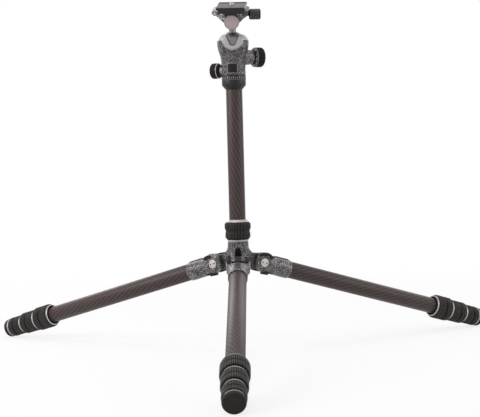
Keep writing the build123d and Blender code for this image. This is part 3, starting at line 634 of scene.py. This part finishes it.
def buildLock(side, number):
    place = legFrames[side]
    node = f"{side}_leg_lock_{number}"
    start, end, grip = reach(node, place)
    bore = reach(f"{side}_leg_tube_{number}", place)[2] + tubeGap
    lipBore = reach(f"{side}_leg_tube_{number + 1}", place)[2] + tubeGap
    p = lockParts
    shell = grip - p["ribHeight"]
    waist = shell - p["waist"]
    ringIn = grip - p["ringIn"][number - 1]
    ringOut = grip - p["ringOut"][number - 1]
    middle = (start + p["shoulder"] + end) / 2
    ringEnd = start + p["ringHeight"]
    top = start + p["recess"]
    upper = [
        (ringOut + 0.1, ringEnd + 0.6), (shell, start + p["shoulder"]), (shell, middle - p["waistHalf"]),
    ]
    lower = [(shell, middle + p["waistHalf"]), (shell, end - p["endLength"]), (shell - 0.6, end - 0.9)]
    profile = [
        (bore, top), (ringIn + 0.4, top), (ringIn + 0.4, ringEnd - 0.2), (ringOut - 0.3, ringEnd - 0.2),
        (ringOut - 0.1, ringEnd + 0.3), *upper[1:], (waist, middle), *lower[:2],
        (shell - p["endBevel"], end), (lipBore, end), (lipBore, end - p["lip"]), (bore, end - p["lip"]),
    ]
    # the body under and between the ribs is near-black as painted shade; the ribs are lighter as painted
    # sheen
    body = turned(rounded(profile, p["edge"]), paintedShadeBlack)
    ring = band(ringIn, ringOut, start, ringEnd, ringAluminium, p["ringEdge"], 0.2)
    crest = (shell + waist) / 2
    ribs = [
        ribsOn(line, ribRubberSheen, p["ribs"], p["ribHeight"], p["ribShare"])
        for line in ([*upper, (crest, middle - p["bareHalf"])], [(crest, middle + p["bareHalf"]), *lower])
    ]
    joined(f"{side}_lock_{number}_grip", place, [body, ring, *ribs], f"{side}_lock_{number}",
           "black_rubber", node)


footParts = {
    "edge": 2.8,
    "round": 0.7,
    "topBevel": 1.2,
    "topSink": 0.2,  # how far the top lies inside the ring
    "socket": 4.0,  # depth of the tube's socket
    "ringIn": 2.6,  # ring radii inside the foot's radius
    "ringOut": 0.5,
    "ringHeight": 2.0,
    "ringEdge": 0.3,
    "notch": 0.35,  # groove round the side, and its place above the edge
    "notchRise": 1.2,
    "soleGroove": 0.5,
    "soleRing": 0.74,  # place of the sole's groove, as a share of its radius
}


def buildFoot(side):
    place = legFrames[side]
    node = f"{side}_leg_foot"
    start, end, radius = reach(node, place)
    bore = reach(f"{side}_leg_tube_4", place)[2] + tubeGap
    p = footParts
    edge, notch, groove = p["edge"], p["notch"], p["soleGroove"]
    notchAt = end - edge - p["notchRise"]
    ringIn = radius - p["ringIn"]
    ringOut = radius - p["ringOut"]
    ringEnd = start + p["ringHeight"]
    top = start + p["topSink"]
    sole = p["soleRing"] * radius
    profile = [
        (bore, top), (ringIn + 0.3, top), (radius - p["topBevel"], ringEnd),
        (radius, ringEnd + p["topBevel"]), (radius, notchAt - notch), (radius - notch, notchAt),
        (radius, notchAt + notch), (radius, end - edge), (radius - 0.3 * edge, end - 0.3 * edge),
        (radius - edge, end), (sole + groove, end), (sole, end - groove), (sole - groove, end), (0, end),
        (0, start + p["socket"]), (bore, start + p["socket"]),
    ]
    body = turned(rounded(profile, p["round"], 3), blackRubber)
    ring = band(ringIn, ringOut, start, ringEnd, ringAluminium, p["ringEdge"], 0.3)
    joined(f"{side}_foot_pad", place, [body, ring], f"{side}_section_4", "black_rubber", node)


for side in sides:
    for number in (1, 2, 3):
        buildLock(side, number)
    buildFoot(side)
print("leg locks and feet built")


# Column lock: two ribbed bulges, a conical bright ring on top and a flat one below
columnLockParts = {
    "gap": 0.35,
    "ribs": 50,
    "ribHeight": 0.6,
    "ribShare": 0.5,
    "neck": 15.5,
    "footRing": 2.8,
    "topRing": 3.6,
    "topRingRadius": 16.6,
    "lowerBulge": 0.8,  # how much smaller the lower bulge and the waist are
    "waist": 1.7,
    "bulgeRound": 2.2,
    "edge": 0.5,
}


def buildColumnLock():
    start, end, grip = reach("column_lock", columnFrame)
    p = columnLockParts
    bore = reach("column_tube", columnFrame)[2] + p["gap"]
    shell = grip - p["ribHeight"]
    low = shell - p["lowerBulge"]
    ring = start + p["footRing"]
    top = end - p["topRing"]
    middle = (ring + top) / 2
    # the first and last corner only lead the line, and their five points each are dropped
    grips = rounded([
        (low - 2.2, ring + 0.5), (low, ring + 3), (low, middle - 4.5), (shell - p["waist"], middle - 0.6),
        (shell, middle + 4), (shell, top - 3), (shell - 1.8, top - 0.5),
    ], p["bulgeRound"])[5:-5]
    profile = [
        (bore, start + 1), (p["neck"] - 1, start), (p["neck"], start), (p["neck"], ring - 0.3),
        (p["neck"] + 0.8, ring), *grips, (p["topRingRadius"], top), (bore + 0.7, end), (bore, end),
    ]
    # the body between the ribs is near-black as painted shade; the ribs are lighter as painted sheen
    body = turned(rounded(profile, p["edge"], 2), paintedShadeBlack, 96)
    paint(body, ringAluminium, lambda r, z: z > top - 0.1 or z < ring - 0.15)
    lines = [(low - 1.2, ring + 1.2), *grips, (shell - 1.2, top - 1.0)]
    ribs = ribsOn(lines, ribRubberDimSheen, p["ribs"], p["ribHeight"], p["ribShare"])
    joined("column_lock_grip", columnFrame, [body, ribs], "column_lock", "black_rubber", "column_lock")


buildColumnLock()

# Knobs: turned grips with ribs or studs, mostly a ring at the inner edge, and a plain shaft
knobParts = {
    "ball_lock_knob": {"joint": "ball_lock_turn", "start": 32.0, "shaft": 4.0, "ribs": 44,
                       "ribHeight": 0.5, "ribShare": 0.64, "ring": dimRing, "ringAt": 3.0, "edge": 2.2,
                       "flange": hammeredGrey},
    "pan_lock_knob": {"joint": "pan_lock_turn", "start": 22.2, "shaft": 3.0, "ribs": 36,
                      "ribHeight": 0.45, "ribShare": 0.64, "ring": ringAluminium, "ringAt": 2.6,
                      "edge": 1.8, "flange": blackRubber},
    "clamp_knob": {"joint": "clamp_knob_turn", "start": 25.2, "shaft": 2.5, "ribs": 18,
                   "ribHeight": 0.5, "ribShare": 0.7, "ringAt": 0.8, "edge": 1.6,
                   "flange": blackRubber, "studRows": 4, "studLength": 0.84},
}
knobForm = {"round": 0.8, "flange": 1.8, "neck": 0.6, "lip": 0.35, "ribGap": 0.7, "ringIn": 1.4,
            "ringOut": 0.3, "ringLow": 0.5, "ringHigh": 0.45, "ringEdge": 0.2, "ringSlant": 0.2}


def studsOn(radius, low, high, p):
    # rows of short studs, each row turned by half a pitch from the last
    rows = []
    step = (high - low) / p["studRows"]
    for k in range(p["studRows"]):
        middle = low + (k + 0.5) * step
        half = p["studLength"] * step / 2
        flat = half - 0.25 * step
        line = [(radius, middle + offset) for offset in (-half, -flat, flat, half)]
        # the studs are lighter than the knob as painted sheen
        row = ribsOn(line, studRubberSheen, p["ribs"], p["ribHeight"], p["ribShare"])
        rows.append(moved(row, Matrix.Rotation(math.pi / p["ribs"] * (k % 2), 4, "Z")))
    return rows


def buildKnob(node):
    p = knobParts[node]
    place = jointFrame(p["joint"])
    inner, end, grip = reach(node, place)
    start = p["start"]
    shell = grip - p["ribHeight"]
    ringAt = start + p["ringAt"]
    edge = p["edge"]
    form = knobForm
    neck = form["neck"]
    lip = form["lip"] * edge
    profile = [
        (0, inner), (p["shaft"], inner), (p["shaft"], start), (shell - form["flange"], start),
        (shell - neck, ringAt - neck), (shell, ringAt + neck), (shell, end - edge),
        (shell - lip, end - lip), (shell - edge, end), (0, end),
    ]
    # the body between the ribs is near-black as painted shade
    body = turned(rounded(profile, form["round"]), paintedShadeBlack)
    paint(body, blackRubber, lambda r, z: z > end - 0.5 * edge)
    paint(body, p["flange"], lambda r, z: z < ringAt)
    meshes = [body]
    if "ring" in p:
        meshes.append(band(
            shell - form["ringIn"], shell + form["ringOut"], ringAt - form["ringLow"],
            ringAt + form["ringHigh"], p["ring"], form["ringEdge"], form["ringSlant"],
        ))
    low = ringAt + form["ribGap"]
    if "studRows" in p:
        meshes += studsOn(shell, low, end - 0.8 * edge, p)
    else:
        line = [(shell, low), (shell, low + neck), (shell, end - edge), (shell - 0.3 * edge, end - lip)]
        meshes.append(ribsOn(line, blackRubber, p["ribs"], p["ribHeight"], p["ribShare"]))
    joined(node + "_grip", place, meshes, node, "black_rubber", node)


for knob in knobParts:
    buildKnob(knob)
print("knobs built")

# Cast and machined pieces: the CAD forms with rounded edges
castEdge = {"casting": 0.9, "selector": 0.5, "housing": 0.5, "collar": 0.45, "clamp": 0.4, "plate": 0.4,
            "turned": 0.4, "tube": 0.2}

# Hub: melted into one flowing form, with painted shade on the tongues and in the recesses
hubPaint = {"recessHalf": 4.7, "recessFloor": 8.5, "recessTop": 19.6, "recessStart": 15.0,
            "recessEnd": 31.0, "tongueStart": 25.0}
hubMelt = {"cell": 0.6, "rounds": 12, "factor": 0.5}
hubFlare = {"from": 11.0, "over": 16.0, "draw": 2.6, "neck": 15.6}
armFrames = {
    s: frameOn((0, 0, hingeLevel), (0, 0, 1), (*legFrames[s].translation.xy, 0)) for s in sides
}


def hubRecessShade(c, n):
    # painted shade: the walls and floor of the recess in the top of an arm are painted near-black
    p = hubPaint
    inside = p["recessStart"] < c.x < p["recessEnd"] and abs(c.y) < p["recessHalf"]
    return inside and p["recessFloor"] < c.z < p["recessTop"]


# painted shade: the outer ends of the arms, the tongues, get a darker tint
def hubTongueShade(c, n):
    return math.hypot(c.x, c.y) > hubPaint["tongueStart"]


def drawnIn(point):
    # the upper ends of the arms, drawn in so that they flow into the neck
    p = hubFlare
    flat = math.hypot(point.x, point.y) / mm
    ease = min(max(((point.z - hingeLevel) / mm - p["from"]) / p["over"], 0), 1)
    inward = min(p["draw"] * ease * ease * (3 - 2 * ease), max(flat - p["neck"], 0))
    keep = 1 - inward / max(flat, 1)
    return Vector((point.x * keep, point.y * keep, point.z))


# the tongues and recesses get painted shade
softened("hub", hammeredGrey, None, "hub", "hammered_grey", reshape=drawnIn, melt=hubMelt,
         paints=((hammeredPaintedShade, hubTongueShade, columnFrame), (paintedShadeBlack, hubRecessShade, *armFrames.values())))

# Leg castings and selectors
castingPaint = {"forkHalf": 8.7, "forkFloor": 10.0, "boreRadius": 8.9, "boreFloor": 14.0,
                "boreTop": 16.9, "cheekEnd": 24.0, "cheekSlope": 0.55, "wallSlope": 0.7,
                "tabHalf": 4.9, "blockFloor": 9.0}


def forkInside(c, n):
    # painted shade: the walls and floor of the fork, and the seats of the bolt caps, are painted
    # near-black
    p = castingPaint
    if abs(c.x) < p["forkHalf"]:
        return abs(n.x) > p["wallSlope"] or n.z < -p["wallSlope"] and c.z > p["forkFloor"]
    return math.hypot(c.y, c.z) < p["boreRadius"] and p["boreFloor"] < abs(c.x) < p["boreTop"]


def forkCheekHighlight(c, n):
    # painted highlight: the upper faces of the fork are painted in a lighter tint where they catch the
    # light
    return c.z < castingPaint["cheekEnd"] and n.y > castingPaint["cheekSlope"]


def selectorBlock(c, n):
    # the block beside the thumb tab has the casting's hammered finish, in the lighter tint of the cheeks
    # as a painted highlight
    return abs(c.x) > castingPaint["tabHalf"] and c.y > castingPaint["blockFloor"]


for side in sides:
    leg = legFrames[side]
    # the fork cheeks get a painted highlight and the inside of the fork painted shade
    softened(f"{side}_leg_casting", hammeredLight, castEdge["casting"], f"{side}_leg", "hammered_grey",
             paints=((hammeredCheekHighlight, forkCheekHighlight, leg), (paintedShadeBlack, forkInside, leg)))
    softened(f"{side}_leg_selector", blackPlastic, castEdge["selector"], f"{side}_selector",
             "black_plastic", paints=((hammeredCheekHighlight, selectorBlock, leg),))

# Head, clamp and plate
bossPaint = {"ball_lock_turn": (12.7, 21.0), "pan_lock_turn": (5.8, 17.9)}  # radius, start along the axis
clampHalf = 9.5  # of its dark middle
plateSlope = 0.9
clampRight = clampFrame.to_3x3().col[0]
clampBack = clampFrame.to_3x3().col[1]


def boss(look, joint):
    radius, start = bossPaint[joint]
    return look, lambda c, n: math.hypot(c.x, c.y) < radius and c.z > start, jointFrame(joint)


# the ball lock's boss gets the lighter tint as a painted highlight
housingPaints = (boss(hammeredLight, "ball_lock_turn"), boss(pinkishAluminium, "pan_lock_turn"))
# the clamp base's left wing gets a much lighter tint as a painted highlight on the side the light falls
# on, and its middle is painted black
clampCuts = [(clampFrame @ Vector((x * mm, 0, 0)), clampRight) for x in (-clampHalf, clampHalf)]
clampPaints = (
    (hammeredSilverHighlight, lambda c, n: c.x < -clampHalf, clampFrame),
    (blackAnodised, lambda c, n: abs(c.x) < clampHalf, clampFrame),
)
platePaints = (
    (plateGrey, lambda c, n: n.z > plateSlope, clampFrame),
    (brightAluminium, lambda c, n: abs(n.x) > plateSlope, clampFrame),
)
for node, look, edge, body, slot, *more in (
    ("ball_housing", hammeredGrey, "housing", "head", "hammered_grey", housingPaints),
    ("ball_collar", brightAluminium, "collar", "head", "bright_aluminium"),
    ("clamp_base", hammeredLight, "clamp", "clamp", "bright_aluminium", clampPaints, clampCuts),
    ("clamp_jaw", hammeredGrey, "clamp", "clamp_jaw", "hammered_grey"),
    ("quick_release_plate", blackAnodised, "plate", "plate", "black_anodised", platePaints),
    ("column_top_plate", blackAnodised, "turned", "column", "black_anodised"),
    ("head_base", blackAnodised, "turned", "column", "black_anodised"),
    ("column_end_cap", blackPlastic, "turned", "column", "black_plastic"),
    ("ball", ballSteel, "turned", "ball", "satin_steel"),
):
    softened(node, look, castEdge[edge], body, slot, *more)
print("castings softened")

# Hinge trim on each casting: black leaves above and below the cap, a dark rail on top and a
# washer round the cap. Outlines are (along the leg, up) points in mm, and the two upper leaves
# differ, as the selector's tab is on one side.
trimParts = {
    "inner": 10.8,
    "outer": 17.3,
    "bendFrom": 4.0,  # from here along the leg the leaves lean in to the casting
    "bend": {"left": 0.01, "right": 0.01, "lower": 0.032},  # share of the width for each mm
    "tuckFrom": 9.9,  # from here down the lower leaves are drawn in
    "tuck": 0.035,
    "left": ((-1.5, 9.8), (-0.5, 12.6), (4.0, 14.6), (10.5, 14.4), (15.6, 11.4), (13.5, 9.0), (8.5, 7.6),
             (4.3, 8.7)),
    "right": ((-11.5, 9.0), (-9.5, 12.0), (-5.0, 14.6), (1.0, 15.4), (7.0, 15.0), (12.0, 12.6),
              (15.5, 9.6), (9.3, 7.6), (4.3, 8.7), (-1.0, 9.6), (-6.0, 8.6)),
    "lower": ((-2.4, -10.4), (-1.0, -13.1), (6.2, -13.4), (10.5, -13.0), (12.6, -11.2), (8.0, -10.0),
              (3.6, -9.9)),
    "rail": ((25.0, 12.0), (25.0, 14.8), (46.0, 14.8), (48.5, 13.5), (48.5, 12.0)),
    "railHalf": 4.35,
    "round": 1.5,
    "edge": 0.2,
    "washer": (7.3, 8.95),  # its radii, and its ends across the leg
    "washerEnds": (15.2, 17.1),
}


def plateAcross(points, low, high, look):
    # a flat plate between two places on x, with its edges rounded
    work = lofted([[(x * mm, up * mm, along * mm) for along, up in points] for x in (low, high)])
    rims = [e for e in work.edges if e.calc_face_angle(0) > 1]
    return meshFrom(beveled(work, rims, trimParts["edge"]), "plateAcross", look)


def leanedIn(mesh, bend):
    # the leaf follows the casting's flank
    p = trimParts
    for vertex in mesh.vertices:
        along = max(vertex.co.z / mm - p["bendFrom"], 0)
        down = max(-vertex.co.y / mm - p["tuckFrom"], 0)
        vertex.co.x *= 1 - bend * along - p["tuck"] * down
    return mesh


for side in sides:
    p = trimParts
    meshes = [plateAcross(p["rail"], -p["railHalf"], p["railHalf"], railGrey)]
    for leaf, end in (("left", 1), ("right", -1), ("lower", 1), ("lower", -1)):
        low, high = sorted((end * p["inner"], end * p["outer"]))
        plate = plateAcross(rounded(p[leaf], p["round"]), low, high, blackPlastic)
        meshes.append(leanedIn(plate, p["bend"][leaf]))
    for end in (-1, 1):
        ends = sorted(end * z for z in p["washerEnds"])
        washer = band(*p["washer"], *ends, hammeredLight, 0.3, segments=48)
        meshes.append(moved(washer, Matrix.Rotation(math.pi / 2, 4, "Y")))
    joined(f"{side}_hinge_trim", legFrames[side], meshes, f"{side}_leg", "black_plastic")

# Black liners in the recesses of the hub as painted shade, narrower towards the neck
shadeLinerParts = {
    "rows": ((8.6, 4.3, 18.6), (17.0, 4.3, 18.6), (18.6, 4.25, 17.9), (20.0, 4.1, 16.8),
             (22.0, 3.5, 16.15), (23.2, 2.7, 15.95), (23.9, 1.6, 15.85)),  # height, half width, face
    "thick": 2.2,
}


def buildShadeLiners():
    p = shadeLinerParts
    rows = []
    for up, half, face in p["rows"]:
        back = face - p["thick"]
        rows.append([(face, -half, up), (face, half, up), (back, half, up), (back, -half, up)])
    meshes = [moved(stacked("liner", rows, paintedShadeBlack), armFrames[s]) for s in sides]
    joined("hub_recess_liners", Matrix.Identity(4), meshes, "hub", "black_plastic")


buildShadeLiners()

# Carbon tubes
softened("column_tube", carbonWeave("carbonColumn", columnFrame, reach("column_tube", columnFrame)[2]),
         castEdge["tube"], "column", "carbon")
for side in sides:
    legCarbon = carbonWeave(f"carbon_{side}", legFrames[side],
                            reach(f"{side}_leg_tube_1", legFrames[side])[2])
    for number in (1, 2, 3, 4):
        body = f"{side}_section_{number}" if number > 1 else f"{side}_leg"
        softened(f"{side}_leg_tube_{number}", legCarbon, castEdge["tube"], body, "carbon")
print("tubes built")

# Hinge bolts: flat caps with two pin holes each
boltParts = {"shaft": 4.0, "capRadius": 6.6, "capInner": 14.9, "capOuter": 17.6, "rim": 0.5,
             "pinRadius": 1.1, "pinDepth": 1.2, "pinSpread": 3.3, "pinSides": 20}


def bored(mesh, look, holes):
    # blind round holes along z, each (x, y, low, high, radius) in mm
    cut = bmesh.new()
    for x, y, low, high, radius in holes:
        middle = Matrix.Translation((x * mm, y * mm, (low + high) / 2 * mm))
        bmesh.ops.create_cone(cut, cap_ends=True, segments=boltParts["pinSides"], radius1=radius * mm,
                              radius2=radius * mm, depth=(high - low) * mm, matrix=middle)
    cutter = placed("cutter", meshFrom(cut, "cutter", look))
    carrier = placed("carrier", mesh)
    modify(carrier, "BOOLEAN", operation="DIFFERENCE", solver="EXACT", material_mode="TRANSFER",
           object=cutter)
    result = applied(carrier)
    for item in (cutter, carrier):
        old = item.data
        bpy.data.objects.remove(item)
        bpy.data.meshes.remove(old)
    return result


def buildHingeBolts():
    p = boltParts
    cap, inner, outer = p["capRadius"], p["capInner"], p["capOuter"]
    half = [(p["shaft"], inner), (cap, inner), (cap, outer), (0, outer)]
    profile = rounded([(r, -z) for r, z in reversed(half)] + half, p["rim"], 3)
    meshes = []
    for s in sides:
        place = jointFrame(s + "_leg_hinge", joints[s + "_lock_1_twist"]["axis"])
        holes = []
        for end in (-1, 1):
            for x in (-p["pinSpread"], p["pinSpread"]):
                depth = sorted((end * (outer - p["pinDepth"]), end * (outer + 1)))
                holes.append((x, 0, *depth, p["pinRadius"]))
        # the pin holes take the near-black look as painted shade
        meshes.append(moved(bored(turned(profile, capSteel, 48), paintedShadeBlack, holes), place))
    joined("hinge_bolt_caps", Matrix.Identity(4), meshes, "hub", "satin_steel", "hinge_bolts")


buildHingeBolts()

# End cap of the cross piece: a bright rim round a flat disc
endCapParts = {"grow": 0.4, "rim": 1.5, "groove": 0.35, "crown": 0.2, "bevel": (0.7, 0.8), "edge": 0.25}


def buildEndCap():
    p = endCapParts
    low, high = span("clamp_end_cap", clampFrame)
    place = frameOn(clampFrame @ ((low + high) / 2 * mm), -clampBack, clampRight)
    start, end, radius = reach("clamp_end_cap", place)
    outer = radius + p["grow"]
    inner = outer - p["rim"]
    groove = p["groove"]
    inset, drop = p["bevel"]
    profile = rounded([
        (0, start), (outer, start), (outer, end - drop), (outer - inset, end), (inner, end),
        (inner - 0.1, end - groove), (inner - groove, end - groove),
        (inner - 2 * groove, end - p["crown"]), (0, end),
    ], p["edge"], 3)
    mesh = turned(profile, pinkishAluminium, 72)
    paint(mesh, jawAluminium, lambda r, z: r > inner - 0.05)
    joined("clamp_end_disc", place, [mesh], "clamp", "bright_aluminium", "clamp_end_cap")


buildEndCap()

# Camera screw: a flat head, a thin shank and a cut thread
screwParts = {"headHeight": 2.4, "shank": 2.5, "thread": 3.175, "threadLength": 4.5, "pitch": 1.27,
              "depth": 0.55, "segments": 32, "rowsPerTurn": 10}


def threadMesh(low, high):
    # a round bar whose radius follows the thread's helix
    p = screwParts
    count = round((high - low) / p["pitch"] * p["rowsPerTurn"])
    rows = []
    for i in range(count + 1):
        z = low + (high - low) * i / count
        row = []
        for k in range(p["segments"]):
            turn = k / p["segments"]
            phase = (z / p["pitch"] - turn) % 1
            radius = p["thread"] - p["depth"] * abs(2 * phase - 1)
            if i in (0, count):
                radius = p["thread"] - p["depth"]
            row.append(onCircle(radius, 2 * math.pi * turn, z))
        rows.append(row)
    return stacked("thread", rows, screwSteel)


def buildCameraScrew():
    p = screwParts
    start, end, radius = reach("camera_screw", clampFrame)
    headEnd = start + p["headHeight"]
    threadStart = end - p["threadLength"]
    shankEnd = threadStart + 0.3
    body = turned(rounded([
        (0, start), (radius, start), (radius, headEnd), (p["shank"], headEnd), (p["shank"], shankEnd),
        (0, shankEnd),
    ], 0.3, 3), screwSteel, 48)
    joined("camera_screw_thread", clampFrame, [body, threadMesh(threadStart, end)], "camera_screw",
           "satin_steel", "camera_screw")


buildCameraScrew()

# Rubber strip along the back of the plate
stripParts = {"side": 1.2, "back": 0.9, "depth": 8.5, "rise": 0.3, "sink": 0.4, "edge": 0.2}


def buildStrip():
    p = stripParts
    low, high = span("quick_release_plate", clampFrame)
    back = high.y - p["back"]
    work = boxBetween((low.x + p["side"], back - p["depth"], high.z - p["sink"]),
                      (high.x - p["side"], back, high.z + p["rise"]))
    strip = meshFrom(beveled(work, work.edges, p["edge"]), "strip", blackRubber)
    joined("plate_grip_strip", clampFrame, [strip], "plate", "black_rubber")


buildStrip()

# Head base: a grey ring under it, a scale of plain ticks, and a bare plate on the housing
scaleParts = {"ring": 1.0, "inset": 1, "lap": 0.2, "edge": 0.15, "proud": 0.15, "ticks": 36,
              "longTicks": 12, "width": 0.9, "sink": 0.3, "foot": 2.0, "short": 1.8, "long": 1.3}
badgeParts = {"width": 15.3, "low": 281.5, "high": 296.0, "shift": -1.45, "thick": 0.25, "frame": 0.7,
              "frameThick": 0.45, "steps": 12, "sink": 0.4}


def buildScale():
    p = scaleParts
    radius = reach("head_base", columnFrame)[2]
    inner = radius - p["inset"]
    foot = max(q.z for q in pointsIn("column_top_plate", columnFrame) if math.hypot(q.x, q.y) > inner)
    ring = band(inner, radius + p["proud"], foot - p["lap"], foot + p["ring"], plateGrey, p["edge"],
                segments=96)
    joined("scale_ring", columnFrame, [ring], "column", "bright_aluminium")
    low = foot + p["foot"]
    high = low + p["short"]
    ticks = []
    for start, end, count in ((low, high, p["ticks"]), (high, high + p["long"], p["longTicks"])):
        tick = boxBetween((-p["sink"], -500, start), (p["proud"], 500, end))  # 1 m wide, set by the ring
        ticks.append(ringOf(tick, tickPaint, count, radius, p["width"]))
    joined("scale_ticks", columnFrame, ticks, "column", "bright_aluminium")


def curvedSlab(radius, turn, width, low, high, thick, look):
    # a piece of a thin tube, centred at an angle, in mm
    p = badgeParts
    inside, outside = radius - p["sink"], radius + thick
    rows = []
    for k in range(p["steps"] + 1):
        angle = turn + (k / p["steps"] - 0.5) * width / radius
        corners = ((inside, low), (outside, low), (outside, high), (inside, high))
        rows.append([onCircle(r, angle, z) for r, z in corners])
    return stacked("curvedSlab", rows, look)


def buildBadge():
    p = badgeParts
    radius = reach("head_base", columnFrame)[2]
    turn = -math.pi / 2 + p["shift"] / radius
    low, high, width, bar = p["low"], p["high"], p["width"], p["frame"]
    beside = (width - bar) / 2 / radius
    meshes = [
        curvedSlab(radius, turn, width - bar, low + bar / 2, high - bar / 2, p["thick"], blackPlastic)
    ]
    for offset, wide, start, end in (
        (0, width, low, low + bar), (0, width, high - bar, high),
        (-beside, bar, low + bar, high - bar), (beside, bar, low + bar, high - bar),
    ):
        meshes.append(curvedSlab(radius, turn + offset, wide, start, end, p["frameThick"], dimRing))
    joined("bare_plate", columnFrame, meshes, "head", "black_plastic")


buildScale()
buildBadge()
print("details built")

# CAD nodes that stay as they are, hidden inside the others
for node in ["column_bushing", "ball_seat"] + [f"{s}_leg_collet_{n}" for s in sides for n in (1, 2, 3)]:
    slots = frame["nodes"][node].data.materials
    slots.clear()
    slots.append(nylonGrey)

# Camera at the photographed view, for an image of 480 by 417
cameraSetup = {
    "place": (0.0393, -1.8804, 0.1681),  # above the hinge level
    "yaw": -1.07,
    "pitch": -2.62,
    "roll": -1.5,
    "focalPixels": 1268,
    "imageWidth": 480,
}


def buildCamera():
    c = cameraSetup
    turn = Matrix.Identity(4)
    for angle, axis in ((-c["yaw"], "Z"), (90 + c["pitch"], "X"), (c["roll"], "Z")):
        turn = turn @ Matrix.Rotation(math.radians(angle), 4, axis)
    data = bpy.data.cameras.new("studioCamera")
    data.sensor_width = 36
    data.lens = c["focalPixels"] / c["imageWidth"] * data.sensor_width
    data.clip_start = 0.05
    data.clip_end = 60
    camera = placed("studioCamera", data)
    x, y, z = c["place"]
    camera.matrix_world = Matrix.Translation((x, y, z + hingeLevel)) @ turn
    bpy.context.scene.camera = camera


# Studio: a pale floor that fades into a white world, and soft lamps. The camera sees the world
# through the floor too, so that a leg which folds below it still shows.
studio = {
    "worldLight": 0.3,
    "floorSize": 24,
    "floorColor": 0.93,
    "floorClear": 0.8,  # near the part, and from there to fully clear
    "fadeFrom": 0.5,
    "fadeTo": 1.4,
    "lamps": (
        # name, place, size, watts
        ("keyLamp", (-2.1, -0.9, 1.5), 1.5, 40),
        ("fillLamp", (2.2, -0.5, 1.1), 1.5, 16),
        ("topLamp", (-0.2, 0.2, 2.6), 1.6, 20),
        ("leftRimLamp", (-1.1, 2.0, 1.2), 0.9, 7),
        ("rightRimLamp", (1.1, 2.0, 1.2), 0.9, 3),
    ),
    "aim": (0, 0, 0.25),
}


def shownTo(tree, plain, shown):
    # another shader for what the camera, mirrors and glass see
    path = tree.nodes.new("ShaderNodeLightPath").outputs
    seen = calc(tree, "MAXIMUM", path["Is Camera Ray"], path["Is Glossy Ray"])
    seen = calc(tree, "MAXIMUM", seen, path["Is Transmission Ray"])
    return inOrder(tree, tree.nodes.new("ShaderNodeMixShader"), seen, plain, shown)


def buildStudio():
    scene = bpy.context.scene
    scene.view_settings.view_transform = "Standard"
    world = bpy.data.worlds.new("studioWorld")
    world.use_nodes = True
    scene.world = world
    tree = world.node_tree
    white = (1, 1, 1, 1)
    dim = fill(tree, tree.nodes["Background"], {"Color": white, "Strength": studio["worldLight"]})
    bright = addNode(tree, "ShaderNodeBackground", Color=white, Strength=1.0)
    fill(tree, tree.nodes["World Output"], {"Surface": shownTo(tree, dim.outputs[0], bright.outputs[0])})
    work = bmesh.new()
    bmesh.ops.create_grid(work, x_segments=1, y_segments=1, size=studio["floorSize"] / 2)
    look, tree, shader = newLook("paleFloor", (studio["floorColor"],) * 3, 0.9, 0.0, 0.1)
    clear = tree.nodes.new("ShaderNodeBsdfTransparent")
    distance = addNode(tree, "ShaderNodeVectorMath", operation="LENGTH", Vector=objectPlace(tree))
    fade = fill(tree, tree.nodes.new("ShaderNodeMapRange"), {
        "interpolation_type": "SMOOTHSTEP", "Value": distance.outputs["Value"],
        "From Min": studio["fadeFrom"], "From Max": studio["fadeTo"],
        "To Min": studio["floorClear"], "To Max": 1.0,
    })
    mix = tree.nodes.new("ShaderNodeMixShader")
    faded = inOrder(tree, mix, fade.outputs[0], shader.outputs[0], clear.outputs[0])
    surface = shownTo(tree, shader.outputs[0], faded)
    fill(tree, tree.nodes["Material Output"], {"Surface": surface})
    placed("studioFloor", meshFrom(work, "studioFloor", look))
    for name, place, size, watts in studio["lamps"]:
        data = bpy.data.lights.new(name, "AREA")
        data.size = size
        data.energy = watts
        lamp = placed(name, data)
        lamp.location = place
        aim = Vector(studio["aim"]) - Vector(place)
        lamp.rotation_euler = aim.to_track_quat("-Z", "Y").to_euler()


buildCamera()
buildStudio()
print("camera and studio ready")
